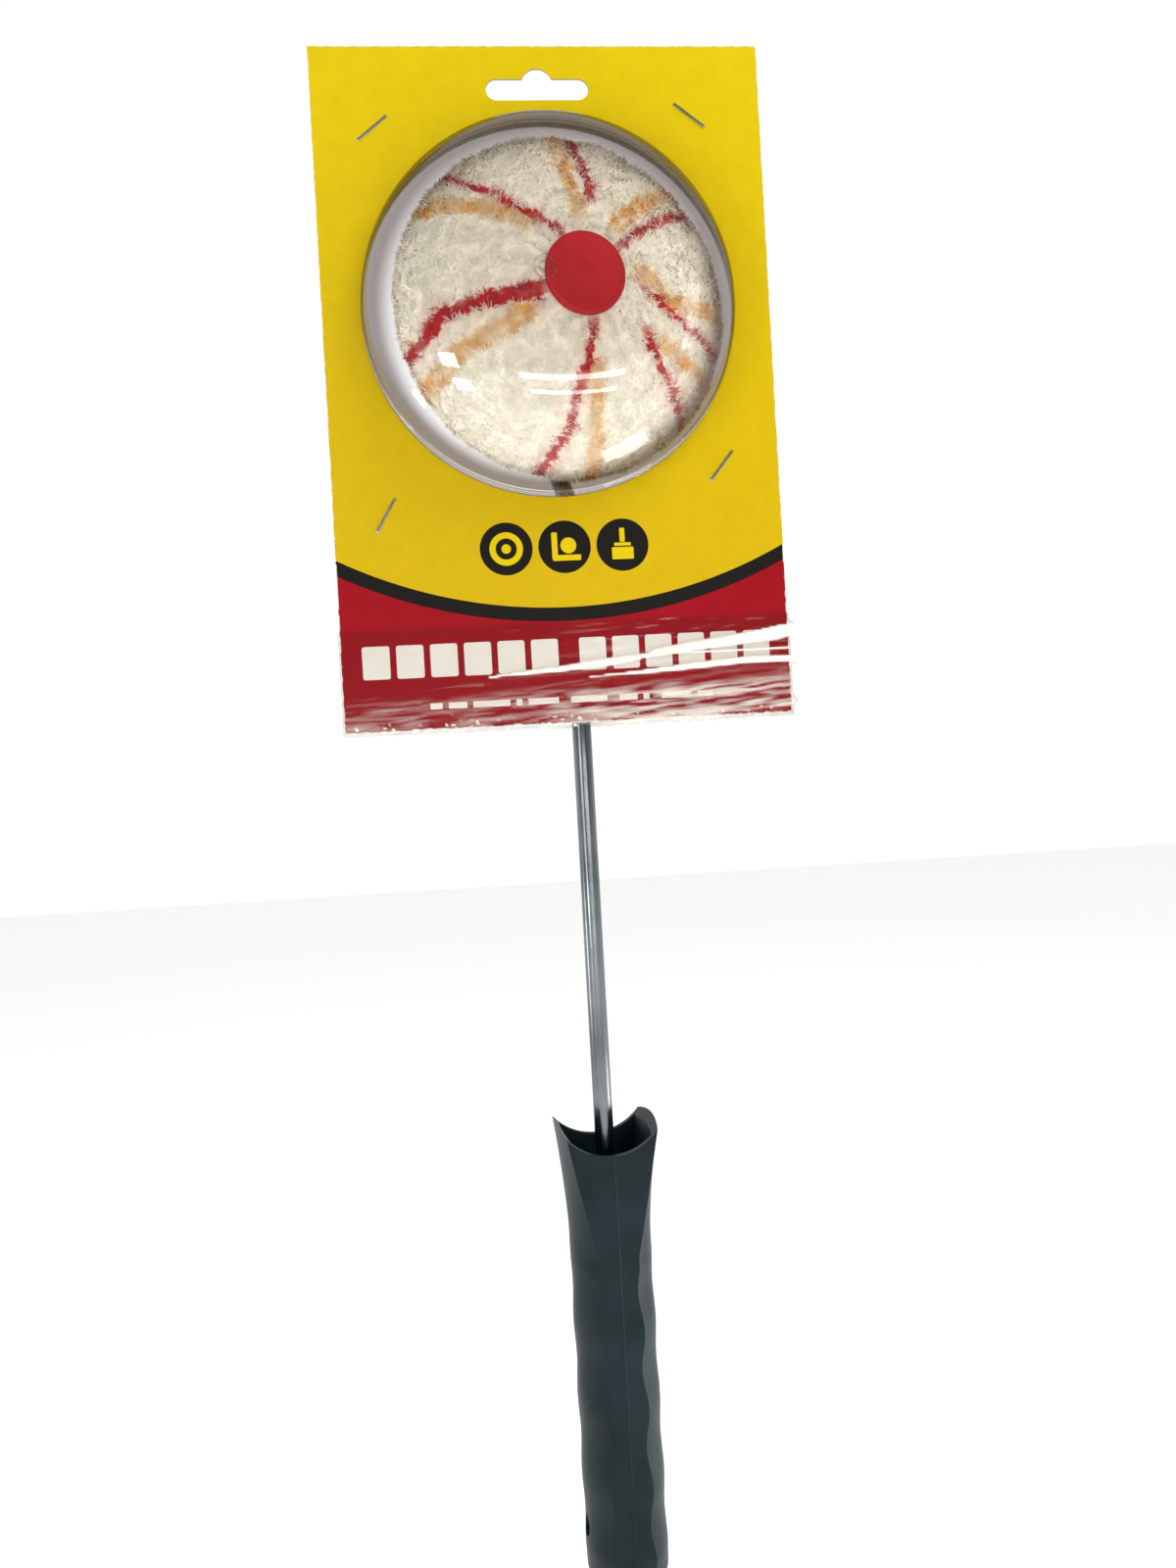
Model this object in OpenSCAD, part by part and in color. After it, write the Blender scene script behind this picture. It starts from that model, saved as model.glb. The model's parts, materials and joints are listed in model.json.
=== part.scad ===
// Edgeless corner paint roller on its hang card, under a clear dome.
// Frame: origin at the centre of the card's hang slot, X to the right, Y to the rear, Z up along the shaft.

/* [Card] */
// Width of the hang card
card_w = 140; // [130:1:160]
// Height of the hang card
card_h = 211; // [205:1:230]
// Thickness of the card board
card_t = 0.6; // [0.4:0.1:1]
// Distance from the card's top edge down to the hang slot's centre
slot_drop = 13.6; // [12:0.1:20]
// Length of the hang slot, over its round ends
slot_w = 32; // [28:1:34]
// Height of the hang slot
slot_h = 6.6; // [5:0.1:8]
// Rise of the hump in the middle of the slot
hump_rise = 3.2; // [2:0.1:5]

/* [Dome] */
// Radius of the dome where it comes through the card
dome_r = 57.5; // [57:0.1:60]
// Height of the dome above the card's middle
dome_h = 33; // [33:0.5:45]
// Squareness of the dome's profile, 2 is an ellipse
dome_n = 2.5; // [2.3:0.1:3.5]
// Thickness of the clear sheet
dome_t = 0.5; // [0.4:0.1:0.8]
// Width of the flange behind the card
flange_w = 130; // [125:1:134]
// Height of the flange behind the card
flange_h = 134; // [125:1:136]
// Distance of the flange's top edge below the slot's centre
flange_drop = 4; // [4:0.5:6]

/* [Staples] */
// Length of a staple's crown
staple_w = 12.5; // [10:0.5:14]
// Width of the staple wire
staple_wire = 0.8; // [0.6:0.1:1]

/* [Film] */
// Top edge of the film band, below the slot
film_top = 166; // [160:1:175]
// Height of the film band
film_h = 30; // [20:1:31]
// Thickness of the film band
film_t = 0.3; // [0.2:0.1:0.4]

/* [Placing of the tool] */
// Sideways place of the shaft
tool_x = 3.2; // [-5:0.1:5]
// Distance of the shaft's axis behind the card
tool_y = 5; // [4.8:0.1:8]
// Turn of the roller head and wire about the shaft
tool_roll = 10; // [0:1:10]
// Turn of the handle about the shaft
handle_roll = 5.5; // [0:0.5:10]
// Height of the wheel's centre below the slot
wheel_drop = 69; // [68.5:0.1:69.5]

/* [Wire frame] */
// Radius of the wire
wire_r = 3; // [3:0.1:3]
// Distance of the crank's straight leg behind the shaft's axis
crank_back = 35; // [34:0.5:40]
// Height of the crank's lower bend, below the slot
crank_drop = 128; // [128:0.5:132]
// Depth of the wire inside the handle
wire_grip = 70; // [60:1:75]

/* [Roller head] */
// Radius of the wheel over its pile
wheel_r = 50.8; // [49:0.1:51]
// Half thickness of the wheel over its pile
wheel_a = 27; // [25:0.5:27.5]
// Squareness of the wheel's profile, 2 is an ellipse
wheel_n = 1.8; // [1.6:0.1:2]
// Distance of the wheel's middle in front of the shaft's axis
wheel_fwd = 5; // [4:0.5:6]
// Depth of the pile and its backing at the rim
pile_t = 6.8; // [5:0.1:8]
// Thickness of the foam pad at the rim
foam_t = 6; // [4:0.1:7]
// Wall thickness of the core halves
core_t = 2.2; // [1.6:0.1:3]
// Number of ribs inside each core half
rib_count = 6; // [4:1:9]

/* [Hub and cap] */
// Radius of the red front cap
cap_r = 12; // [11.5:0.1:13]
// Thickness of the cap's disc
cap_t = 2.2; // [1.5:0.1:2.2]
// Distance of the cap's face from the wheel's middle
cap_face = 29; // [29:0.1:29.5]
// Radial clearance of the bushes on the axle
running_gap = 0.06; // [0.03:0.01:0.1]

/* [Handle] */
// Length of the handle
handle_len = 143.5; // [135:0.5:150]
// Height of the handle's mouth tips, below the slot
mouth_drop = 322.5; // [315:0.5:330]
// Half width of the mouth
mouth_w = 15.6; // [15:0.1:17]
// Half depth of the mouth
mouth_d = 14; // [13.5:0.1:15]
// Half width of the grip
grip_w = 12.8; // [12.6:0.1:13.5]
// Half depth of the grip
grip_d = 14; // [13.5:0.1:15]
// Half width of the flat strip down the grip's front and rear
strip_w = 6; // [5:0.1:7]
// Pitch of the finger waves
wave_pitch = 24; // [20:1:28]
// Depth of the finger waves
wave_depth = 0.7; // [0.3:0.1:1]
// Wall thickness of the handle
handle_wall = 1.9; // [1.6:0.1:2.2]
// Depth of the scoops in the mouth's front and rear
scoop_depth = 8.5; // [6:0.5:10]
// Radius of the hang hole
hang_r = 3.5; // [3:0.1:4]
// Height of the hang hole above the handle's end
hang_up = 16.5; // [14:0.5:20]

/* [Hidden] */

round_fn = 96;
gap = 0.1;              // clearance between parts that lie against each other
half_t = card_t / 2;
bend_swell = 0.05;      // the wire swells a little where it is bent
rod_bite = 0.3;         // overlap of a straight stretch with the bend it runs into

// Radial places in the hub
axle_bore_r = wire_r + running_gap;
bush_r = 5.5;
sleeve_r = 8;
boss_in = sleeve_r + gap;
boss_out = 10.5;
neck_r = boss_out + gap;
skirt_out = sleeve_r;
skirt_in = 6.9;

// Axial places in the hub, from the wheel's middle
sleeve_end = 21;
flange_end = sleeve_end + 1.5;
nut_start = flange_end + 0.3;
nut_end = nut_start + 1;
boss_end = 25;
axle_tip = 24.6;
cap_under = cap_face - cap_t;
wing_start = nut_end + gap;
wing_end = wing_start + 3.2;
crank_plane = crank_back + wheel_fwd;   // distance of the crank's leg behind the wheel's middle

foam_r = wheel_r - pile_t;
foam_a = wheel_a - 5.5;
core_r = foam_r - foam_t;
core_a = foam_a - 4.5;

// Inner corner of the wheel's rim, between the two core halves
rim_gap = 0.05;

// Handle
wire_end = mouth_drop + wire_grip;
hang_drop = mouth_drop + handle_len - hang_up;
funnel_depth = 34;
insert_r = grip_w - handle_wall - 0.6;
insert_end = 78;
skin_sides = 9;         // points in each quarter of the handle's outline
skin_rings = 34;

// Staples: sideways place, height and slope of each crown
staple_places = [[-51.6, -11.8, 39.5], [47.4, -8.4, -38.3], [51.6, -119, 50.9], [-53.9, -131, 59]];

// ---------------------------------------------------------------- helpers

// Points of a superellipse quarter, from the rim at [r, 0] up to the axis at [0, a]
function quarter(r, a, n, steps) =
    [for (i = [0 : steps]) let (t = 90 * i / steps) [r * pow(cos(t), 2 / n), a * pow(sin(t), 2 / n)]];

// Lens-shaped solid of revolution about Z
module lens(r, a, n, steps = 14) {
    up = quarter(r, a, n, steps);
    down = [for (i = [steps : -1 : 1]) [up[i][0], -up[i][1]]];
    rotate_extrude($fn = round_fn) polygon(concat(down, up));
}

// Tube along Z from height z0 to z1
module tube(r_out, r_in, z0, z1) {
    translate([0, 0, z0]) difference() {
        cylinder(r = r_out, h = z1 - z0, $fn = round_fn);
        translate([0, 0, -1]) cylinder(r = r_in, h = z1 - z0 + 2, $fn = round_fn);
    }
}

// Puts a piece drawn about the wheel's axis, its front towards +Z, in its place
module on_wheel() {
    translate([tool_x, tool_y, -wheel_drop]) rotate([0, 0, tool_roll])
        translate([0, -wheel_fwd, 0]) rotate([90, 0, 0]) children();
}

// Puts a piece drawn about the shaft's axis in its place
module on_shaft(roll) {
    translate([tool_x, tool_y, 0]) rotate([0, 0, roll]) children();
}

// Turns a front hub piece round to the rear
module to_rear() {
    mirror([0, 0, 1]) children();
}

// ---------------------------------------------------------------- hang card and pack

// Hang slot with its hump
module slot_outline() {
    end_x = (slot_w - slot_h) / 2;
    hump_r = 4.9;
    square([2 * end_x, slot_h], center = true);
    for (s = [-1, 1]) translate([s * end_x, 0]) circle(d = slot_h, $fn = 48);
    translate([0, slot_h / 2 + hump_rise - hump_r]) circle(r = hump_r, $fn = 48);
}

module card() {
    color("#dfc105") rotate([90, 0, 0]) translate([0, 0, -half_t]) linear_extrude(card_t) difference() {
        translate([-card_w / 2, slot_drop - card_h]) square([card_w, card_h]);
        slot_outline();
        translate([0, -wheel_drop]) circle(r = dome_r + 0.4, $fn = round_fn);
    }
}

// Clear dome, its flange behind the card and the small moulded nub at its crown
module blister() {
    flange_back = -half_t - gap - dome_t;
    color([0.85, 0.88, 0.9, 0.35]) translate([0, 0, -wheel_drop]) rotate([90, 0, 0]) {
        difference() {
            union() {
                translate([-flange_w / 2, wheel_drop - flange_drop - flange_h, flange_back])
                    cube([flange_w, flange_h, dome_t]);
                dome_solid(dome_r, dome_h, flange_back);
            }
            dome_solid(dome_r - dome_t, dome_h - dome_t, flange_back - 1);
        }
        tube(3.5, 2.9, dome_h - 0.3, dome_h + 0.5);
        tube(1.6, 1.1, dome_h - 0.3, dome_h + 0.4);
    }
}

// Solid dome, from its foot up to its crown
module dome_solid(r, h, foot) {
    rotate_extrude($fn = round_fn) polygon(concat([[0, foot], [r, foot]], quarter(r, h, dome_n, 18)));
}

module staples() {
    leg_back = half_t + gap + dome_t;
    color("#4b4c4e") for (p = staple_places) translate([p[0], 0, p[1]]) rotate([0, -p[2], 0]) {
        // crown on the card's face
        translate([-staple_w / 2, -half_t - 0.5, -staple_wire / 2]) cube([staple_w, 0.5, staple_wire]);
        for (s = [0, 1]) mirror([s, 0, 0]) {
            // leg through card and flange, then its clenched tail
            translate([staple_w / 2 - 0.5, -half_t - 0.4, -staple_wire / 2])
                cube([0.5, leg_back + half_t + 1, staple_wire]);
            translate([staple_w / 2 - 5, leg_back + 0.1, -staple_wire / 2]) cube([5, 0.5, staple_wire]);
        }
    }
}

// Outline of the film band seen from above, "out" thicknesses outside its inner face
function band_outline(out) = let (x = card_w / 2 + 0.4 + out, f = half_t + 0.3 + out,
        b = tool_y + wire_r + 0.2 + out, peak = wire_r + 1.2 + out)
    [[-x, -f], [x, -f], [x, f], [tool_x + peak, b], [tool_x - peak, b], [-x, f]];

module film_band() {
    color([0.9, 0.92, 0.95, 0.3]) translate([0, 0, -film_top - film_h]) linear_extrude(film_h) difference() {
        polygon(band_outline(film_t));
        polygon(band_outline(0));
    }
}

// ---------------------------------------------------------------- wire frame

// Straight wire along +Z, which bites a little into the bends at its ends
module rod(h) {
    translate([0, 0, -rod_bite]) cylinder(r = wire_r, h = h + 2 * rod_bite, $fn = 48);
}

// Bend of the wire in the XZ plane: starts along +Z at the origin and turns towards +X
module bend(radius, angle) {
    translate([radius, 0, 0]) rotate([90, 0, 180])
        rotate_extrude(angle = angle, $fn = round_fn) translate([radius, 0])
            circle(r = wire_r + bend_swell, $fn = 48);
}

// One end-to-end walk along the wire, from the handle to the axle's tip
module wire_path() {
    low_r = 12;                                  // radius of both 45 degree bends
    top_r = 8;                                   // radius of the bend into the axle
    cut = low_r * tan(22.5);
    slope = crank_back * sqrt(2) - 2 * cut;
    leg = wheel_drop_to_crank() - cut - top_r;
    rod(wire_end - crank_drop - cut);
    translate([0, 0, wire_end - crank_drop - cut]) {
        bend(low_r, 45);
        translate([low_r * (1 - cos(45)), 0, low_r * sin(45)]) rotate([0, 45, 0]) {
            rod(slope);
            translate([0, 0, slope]) rotate([0, 0, 180]) {
                bend(low_r, 45);
                translate([low_r * (1 - cos(45)), 0, low_r * sin(45)]) rotate([0, 45, 0]) {
                    rod(leg);
                    translate([0, 0, leg]) {
                        bend(top_r, 90);
                        translate([top_r, 0, top_r]) rotate([0, 90, 0]) rod(crank_plane + axle_tip - top_r);
                    }
                }
            }
        }
    }
}

// Height from the upper end of the crank's slope to the axle
function wheel_drop_to_crank() = crank_drop - crank_back - wheel_drop;

module wire_frame() {
    color("#8b9094") {
        on_shaft(tool_roll) translate([0, 0, -wire_end]) rotate([0, 0, 90]) wire_path();
        // swaged shoulder behind the wheel
        on_wheel() to_rear() translate([-4.6, -1.4, wing_start]) cube([9.2, 2.8, wing_end - wing_start]);
    }
}

module thrust_washer() {
    color("#a9acae") on_wheel() to_rear() tube(6.4, wire_r, nut_start, nut_end);
}

// Round spring nut with a raised rim, pushed on the axle's tip
module push_nut() {
    color("#6f7376") on_wheel() {
        tube(6, wire_r, nut_start, nut_start + 0.6);
        tube(6, 5.3, nut_start + 0.5, nut_start + 1.4);
    }
}

// ---------------------------------------------------------------- roller head

// Ribbed half of the core, from the wheel's middle to its boss
module core_half() {
    difference() {
        lens(core_r, core_a, wheel_n);
        lens(core_r - core_t, core_a - core_t, wheel_n);
        cylinder(r = neck_r, h = 60, center = true, $fn = round_fn);
        translate([-60, -60, -60 + rim_gap]) cube([120, 120, 60]);
    }
    tube(neck_r, boss_in, rim_gap, core_a - 0.6);
    tube(boss_out, boss_in, rim_gap, boss_end);
    intersection() {
        lens(core_r - core_t + 0.2, core_a - core_t + 0.2, wheel_n);
        for (i = [0 : rib_count - 1]) rotate([0, 0, 360 * i / rib_count + 30])
            translate([boss_out - 0.5, -0.8, rim_gap]) cube([core_r - boss_out - 2, 1.6, core_a - 2]);
    }
}

module core_front() {
    color("#d9d6cc") on_wheel() core_half();
}

module core_rear() {
    color("#d9d6cc") on_wheel() to_rear() core_half();
}

module hub_sleeve() {
    color("#c9c7bf") on_wheel() tube(sleeve_r, bush_r + gap / 2, -sleeve_end, sleeve_end);
}

// Flanged bush in the sleeve's end
module bush() {
    tube(bush_r, axle_bore_r, sleeve_end - 11, sleeve_end + 0.1);
    tube(sleeve_r - 0.1, axle_bore_r, sleeve_end, flange_end);
}

module front_bush() {
    color("#f1efe6") on_wheel() bush();
}

module rear_bush() {
    color("#f1efe6") on_wheel() to_rear() bush();
}

module foam_pad() {
    color("#e8dca0") on_wheel() difference() {
        lens(foam_r, foam_a, wheel_n);
        lens(core_r + gap, core_a + gap, wheel_n);
        cylinder(r = neck_r + gap, h = 80, center = true, $fn = round_fn);
    }
}

// Pile fabric drawn over the pad, with a pocket for the gather cord at each neck
module pile_cover() {
    color("#e6e0cb") on_wheel() difference() {
        lens(wheel_r, wheel_a, wheel_n, 18);
        lens(foam_r + gap, foam_a + gap, wheel_n);
        cylinder(r = neck_r + gap, h = 80, center = true, $fn = round_fn);
        for (s = [0, 1]) mirror([0, 0, s]) cord_pocket();
    }
}

// Pocket for a gather cord
module cord_pocket() {
    tube(boss_out + 2.3, boss_out - 1, 21.9, 24.1);
}

module gather_cord() {
    rotate_extrude($fn = round_fn) translate([boss_out + 1.2, 23]) circle(r = 0.9, $fn = 24);
}

module gather_cord_front() {
    color("#f4f2ea") on_wheel() gather_cord();
}

module gather_cord_rear() {
    color("#f4f2ea") on_wheel() to_rear() gather_cord();
}

// Cap's skirt, which presses into the core's boss
module skirt() {
    tube(skirt_out, skirt_in, flange_end + 0.2, cap_under + 0.1);
}

module front_cap() {
    color("#b52021") on_wheel() {
        translate([0, 0, cap_under]) cylinder(r = cap_r, h = cap_t, $fn = round_fn);
        skirt();
    }
}

module rear_collar() {
    color("#b52021") on_wheel() to_rear() {
        tube(cap_r, 5.4, cap_under, cap_face - 0.6);
        skirt();
    }
}

// ---------------------------------------------------------------- handle

function mix(a, b, t) = a + (b - a) * t;
function smooth(t) = let (u = max(0, min(1, t))) u * u * (3 - 2 * u);

// Finger waves, which fade in below the mouth and out near the end
function wave(s) = wave_depth * cos(360 * (s - 63) / wave_pitch) * smooth((s - 35) / 15)
    * smooth((handle_len - 4 - s) / 8);

// The flare from the grip up to the mouth is widest at the mouth, at depth s below its tips
function flare(s) = pow(max(0, 1 - s / 34), 1.35);

// Rounding of the handle's end
function end_round(s) = let (u = max(0, s - handle_len + 4) / 4) 1 - 0.14 * (1 - sqrt(max(0, 1 - u * u)));

function half_w(s) = (mix(grip_w, mouth_w, flare(s)) + 0.3 * wave(s)) * end_round(s);
function half_d(s) = (mix(grip_d, mouth_d, flare(s)) + 0.4 * wave(s)) * end_round(s);
function strip(s) = (mix(strip_w + wave(s), mouth_w - 1, pow(max(0, 1 - s / 40), 0.9))) * end_round(s);

// Angle between the strip and the first of the side face
function side_start(s) = mix(44, 76, pow(max(0, 1 - s / 34), 0.8));

// One quarter of the outline at depth s, from the strip's middle to the side's middle
function quarter_skin(s, inset) = let (w = half_w(s) - inset, d = half_d(s) - inset, f = strip(s) - 0.7 * inset,
        a0 = side_start(s), rx = (w - f) / (1 - sin(a0)), ry = (d - 0.35) / cos(a0))
    concat([[0, d], [f * 0.5, d - 0.08]], [for (i = [0 : skin_sides - 3])
        let (a = mix(a0, 90, i / (skin_sides - 3))) [f + rx * (sin(a) - sin(a0)), ry * cos(a)]]);

// Whole outline, walked round from the rear strip's middle
function skin_ring(s, inset) = let (q = quarter_skin(s, inset), n = len(q) - 1)
    concat([for (i = [0 : n]) [q[i][0], q[i][1]]], [for (i = [n - 1 : -1 : 0]) [q[i][0], -q[i][1]]],
        [for (i = [1 : n]) [-q[i][0], -q[i][1]]], [for (i = [n - 1 : -1 : 1]) [-q[i][0], q[i][1]]]);

// Closed skin through the rings at the depths in "stations", first ring highest
module skin(stations, inset) {
    rings = [for (s = stations) [for (p = skin_ring(s, inset)) [p[0], p[1], -mouth_drop - s]]];
    m = len(rings[0]);
    k = len(rings);
    polyhedron(
        points = [for (r = rings) for (p = r) p],
        faces = concat(
            [[for (j = [0 : m - 1]) j]],
            [[for (j = [m - 1 : -1 : 0]) (k - 1) * m + j]],
            [for (i = [0 : k - 2]) for (j = [0 : m - 1]) let (n = (j + 1) % m)
                each [[(i + 1) * m + n, i * m + n, i * m + j], [(i + 1) * m + j, (i + 1) * m + n, i * m + j]]]));
}

skin_stations = concat([for (i = [0 : 7]) i * 5], [for (i = [1 : 24]) 35 + i * 4.25],
    [for (u = [0.4, 0.7, 0.9, 1]) handle_len - 4 + 4 * u]);
funnel_stations = [-0.5, 4, 8, 13, 18, 24, funnel_depth];

module handle_shell() {
    scoop_r = (mouth_w * mouth_w + scoop_depth * scoop_depth) / (2 * scoop_depth);
    color("#23292b") on_shaft(handle_roll) difference() {
        union() {
            difference() {
                skin(skin_stations, 0);
                skin(funnel_stations, handle_wall);
                // long hollow below the funnel, which the insert sits in
                translate([0, 0, -mouth_drop - handle_len + 4])
                    cylinder(r = insert_r + gap, h = handle_len - 4 - funnel_depth + 1, $fn = round_fn);
            }
            // closed tube round the hang hole
            translate([-grip_w + 1, 0, -hang_drop]) rotate([0, 90, 0])
                cylinder(r = hang_r + 1.8, h = 2 * grip_w - 2, $fn = 48);
        }
        translate([0, 30, -mouth_drop - scoop_depth + scoop_r]) rotate([90, 0, 0])
            cylinder(r = scoop_r, h = 60, $fn = round_fn);
        translate([-20, 0, -hang_drop]) rotate([0, 90, 0]) cylinder(r = hang_r, h = 40, $fn = 48);
    }
}

// Plug in the handle's hollow: tube on the wire, three discs and four fins
module socket_insert() {
    top = -mouth_drop - funnel_depth;
    bottom = -mouth_drop - insert_end;
    color("#2f3537") on_shaft(handle_roll) {
        tube(5.4, wire_r, bottom, top);
        for (z = [bottom, (bottom + top) / 2 - 1, top - 2]) tube(insert_r, wire_r, z, z + 2);
        difference() {
            for (a = [0, 90]) rotate([0, 0, a])
                translate([-insert_r + 0.4, -0.9, bottom]) cube([2 * insert_r - 0.8, 1.8, top - bottom]);
            translate([0, 0, bottom - 1]) cylinder(r = wire_r, h = top - bottom + 2, $fn = 48);
        }
    }
}

// ---------------------------------------------------------------- assembly

card();
blister();
staples();
film_band();
wire_frame();
thrust_washer();
push_nut();
handle_shell();
socket_insert();
core_front();
core_rear();
hub_sleeve();
front_bush();
rear_bush();
foam_pad();
pile_cover();
gather_cord_front();
gather_cord_rear();
front_cap();
rear_collar();
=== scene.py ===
import json
import math

import bpy
import numpy as np
from mathutils import Matrix, Vector, noise

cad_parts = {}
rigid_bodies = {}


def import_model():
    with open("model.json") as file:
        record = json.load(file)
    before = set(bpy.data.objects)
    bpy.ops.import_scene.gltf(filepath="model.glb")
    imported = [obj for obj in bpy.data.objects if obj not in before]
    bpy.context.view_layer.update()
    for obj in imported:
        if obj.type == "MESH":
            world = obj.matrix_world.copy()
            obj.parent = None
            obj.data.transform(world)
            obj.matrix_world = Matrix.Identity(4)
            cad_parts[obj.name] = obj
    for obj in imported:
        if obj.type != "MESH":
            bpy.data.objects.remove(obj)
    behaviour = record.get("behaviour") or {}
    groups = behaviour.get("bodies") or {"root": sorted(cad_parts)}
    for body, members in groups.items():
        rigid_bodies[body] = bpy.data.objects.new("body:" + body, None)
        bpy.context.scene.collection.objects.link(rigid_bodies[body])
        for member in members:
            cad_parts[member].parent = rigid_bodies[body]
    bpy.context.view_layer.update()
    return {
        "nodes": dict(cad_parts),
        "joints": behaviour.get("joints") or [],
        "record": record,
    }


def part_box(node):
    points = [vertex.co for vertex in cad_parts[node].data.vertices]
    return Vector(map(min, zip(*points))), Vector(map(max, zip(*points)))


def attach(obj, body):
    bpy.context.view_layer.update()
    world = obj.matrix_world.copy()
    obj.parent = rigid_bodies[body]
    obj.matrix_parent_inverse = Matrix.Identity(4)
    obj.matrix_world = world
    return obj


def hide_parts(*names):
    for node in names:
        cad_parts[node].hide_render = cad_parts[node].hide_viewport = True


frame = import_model()
mm = 0.001
rng = np.random.default_rng(7)
print("frame loaded:", len(frame["nodes"]), "nodes")

# places that come from the frame
spin = frame["joints"][0]
wheelAxis = Vector(spin["axis"]).normalized()  # points out of the wheel's front
wheelCentre = Vector(spin["pos_m"])
wheelRight = Vector((0, 0, 1)).cross(wheelAxis)
headTurnedTo = Matrix((wheelRight, (0, 0, 1), wheelAxis)).transposed().to_4x4()
headPlace = Matrix.Translation(wheelCentre) @ headTurnedTo
hangHole = next(m for m in frame["record"]["mounts"] if m["name"] == "hang_hole")
shaftX, shaftY, hangZ = hangHole["pos_m"]
headTurn = math.atan2(wheelAxis.x, -wheelAxis.y)
handleTurn = math.atan2(hangHole["axis"][1], hangHole["axis"][0])
cardLow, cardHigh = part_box("card")
handleLow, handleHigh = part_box("handle_shell")
domeLow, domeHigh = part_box("blister")
fixedBody, turningBody = spin["parent"], spin["child"]


# modelling helpers

def deselectAll():
    if bpy.context.mode != "OBJECT":
        bpy.ops.object.mode_set(mode="OBJECT")
    bpy.ops.object.select_all(action="DESELECT")


def pick(piece):
    deselectAll()
    piece.select_set(True)
    bpy.context.view_layer.objects.active = piece


def named(name):
    piece = bpy.context.active_object
    piece.name = piece.data.name = name
    return piece


def applyAll(piece, place=None):
    if place is not None:
        piece.matrix_world = place @ piece.matrix_world
    pick(piece)
    bpy.ops.object.transform_apply(location=True, rotation=True, scale=True)
    return piece


def addModifier(piece, kind, **settings):
    pick(piece)
    modifier = piece.modifiers.new(kind.title(), kind)
    for key, value in settings.items():
        setattr(modifier, key, value)
    bpy.ops.object.modifier_apply(modifier=modifier.name)


def edit(piece, everything=True):  # everything=False keeps the selection as it was
    pick(piece)
    bpy.ops.object.mode_set(mode="EDIT")
    if everything:
        bpy.ops.mesh.select_all(action="SELECT")


def cleanUp(piece, angle=35, merge=0.000025):
    edit(piece)
    bpy.ops.mesh.remove_doubles(threshold=merge)
    bpy.ops.mesh.normals_make_consistent(inside=False)
    bpy.ops.object.mode_set(mode="OBJECT")
    bpy.ops.object.shade_smooth_by_angle(angle=math.radians(angle))
    return piece


def joined(pieces, name):
    deselectAll()
    for piece in pieces:
        piece.select_set(True)
    bpy.context.view_layer.objects.active = pieces[0]
    if len(pieces) > 1:
        bpy.ops.object.join()
    return named(name)


def turned(name, profile, segments=96):  # profile: (radius, height) in mm, turned about Z
    profile = [(max(radius, 0.01), height) for radius, height in profile]
    radius, height = profile[0]
    deselectAll()
    bpy.ops.mesh.primitive_circle_add(vertices=segments, radius=radius * mm, location=(0, 0, height * mm))
    piece = applyAll(named(name))
    edit(piece)
    for nextRadius, nextHeight in profile[1:]:
        bpy.ops.mesh.extrude_edges_move(TRANSFORM_OT_translate={"value": (0, 0, (nextHeight - height) * mm)})
        ratio = nextRadius / radius
        bpy.ops.transform.resize(value=(ratio, ratio, 1), center_override=(0, 0, nextHeight * mm))
        radius, height = nextRadius, nextHeight
    bpy.ops.object.mode_set(mode="OBJECT")
    return piece


def meshFrom(name, points, faces):
    mesh = bpy.data.meshes.new(name)
    mesh.from_pydata([tuple(p) for p in points], [], faces)
    piece = bpy.data.objects.new(name, mesh)
    bpy.context.scene.collection.objects.link(piece)
    return piece


def gridFaces(rows, columns, closedRows=False, closedColumns=True):
    faces = []
    for i in range(rows if closedRows else rows - 1):
        for j in range(columns if closedColumns else columns - 1):
            a, b = i * columns + j, i * columns + (j + 1) % columns
            c, d = (i + 1) % rows * columns + (j + 1) % columns, (i + 1) % rows * columns + j
            faces.append((a, d, c, b))
    return faces


def cutWith(piece, tool, operation="DIFFERENCE"):
    addModifier(piece, "BOOLEAN", object=tool, operation=operation, solver="EXACT")
    bpy.data.objects.remove(tool)


def finished(piece, body, slot, material, *nodes):
    applyAll(piece)
    piece.data.materials.clear()
    piece.data.materials.append(material)
    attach(piece, body)
    if nodes:
        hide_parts(*nodes)
    print("piece:", piece.name, len(piece.data.polygons), "faces")
    return piece


# material helpers

def linear(hexColour, alpha=1.0):
    channels = [int(hexColour[i:i + 2], 16) / 255 for i in (1, 3, 5)]
    return [c / 12.92 if c <= 0.04045 else ((c + 0.055) / 1.055) ** 2.4 for c in channels] + [alpha]


def newMaterial(name):
    material = bpy.data.materials.new(name)
    material.use_nodes = True
    tree = material.node_tree
    return material, tree, tree.nodes["Principled BSDF"], add(tree, "TexCoord").outputs["Object"]


def live(source):  # a node stands for its first output in use
    return next(o for o in source.outputs if o.enabled) if isinstance(source, bpy.types.Node) else source


def add(tree, kind, settings=None, **links):  # links: an input's name, or i0, i1... for its number
    node = tree.nodes.new("ShaderNode" + kind)
    for key, value in (settings or {}).items():
        if isinstance(key, int) or key in node.inputs:
            node.inputs[key].default_value = value
        else:
            setattr(node, key, value)
    for key, source in links.items():
        numbered = key[0] == "i" and key[1:].isdigit()
        tree.links.new(live(source), node.inputs[int(key[1:]) if numbered else key.replace("_", " ")])
    return node


def setShader(shader, **values):  # a value goes on the socket itself, and a node is linked to it
    for key, value in values.items():
        socket = shader.inputs[key.replace("_", " ")]
        if isinstance(value, bpy.types.Node):
            shader.id_data.links.new(live(value), socket)
        else:
            socket.default_value = value


# a range with soft ends: 1 and 2 say where it runs, and 3 and 4 what it gives
soft = {"interpolation_type": "SMOOTHSTEP"}


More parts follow.
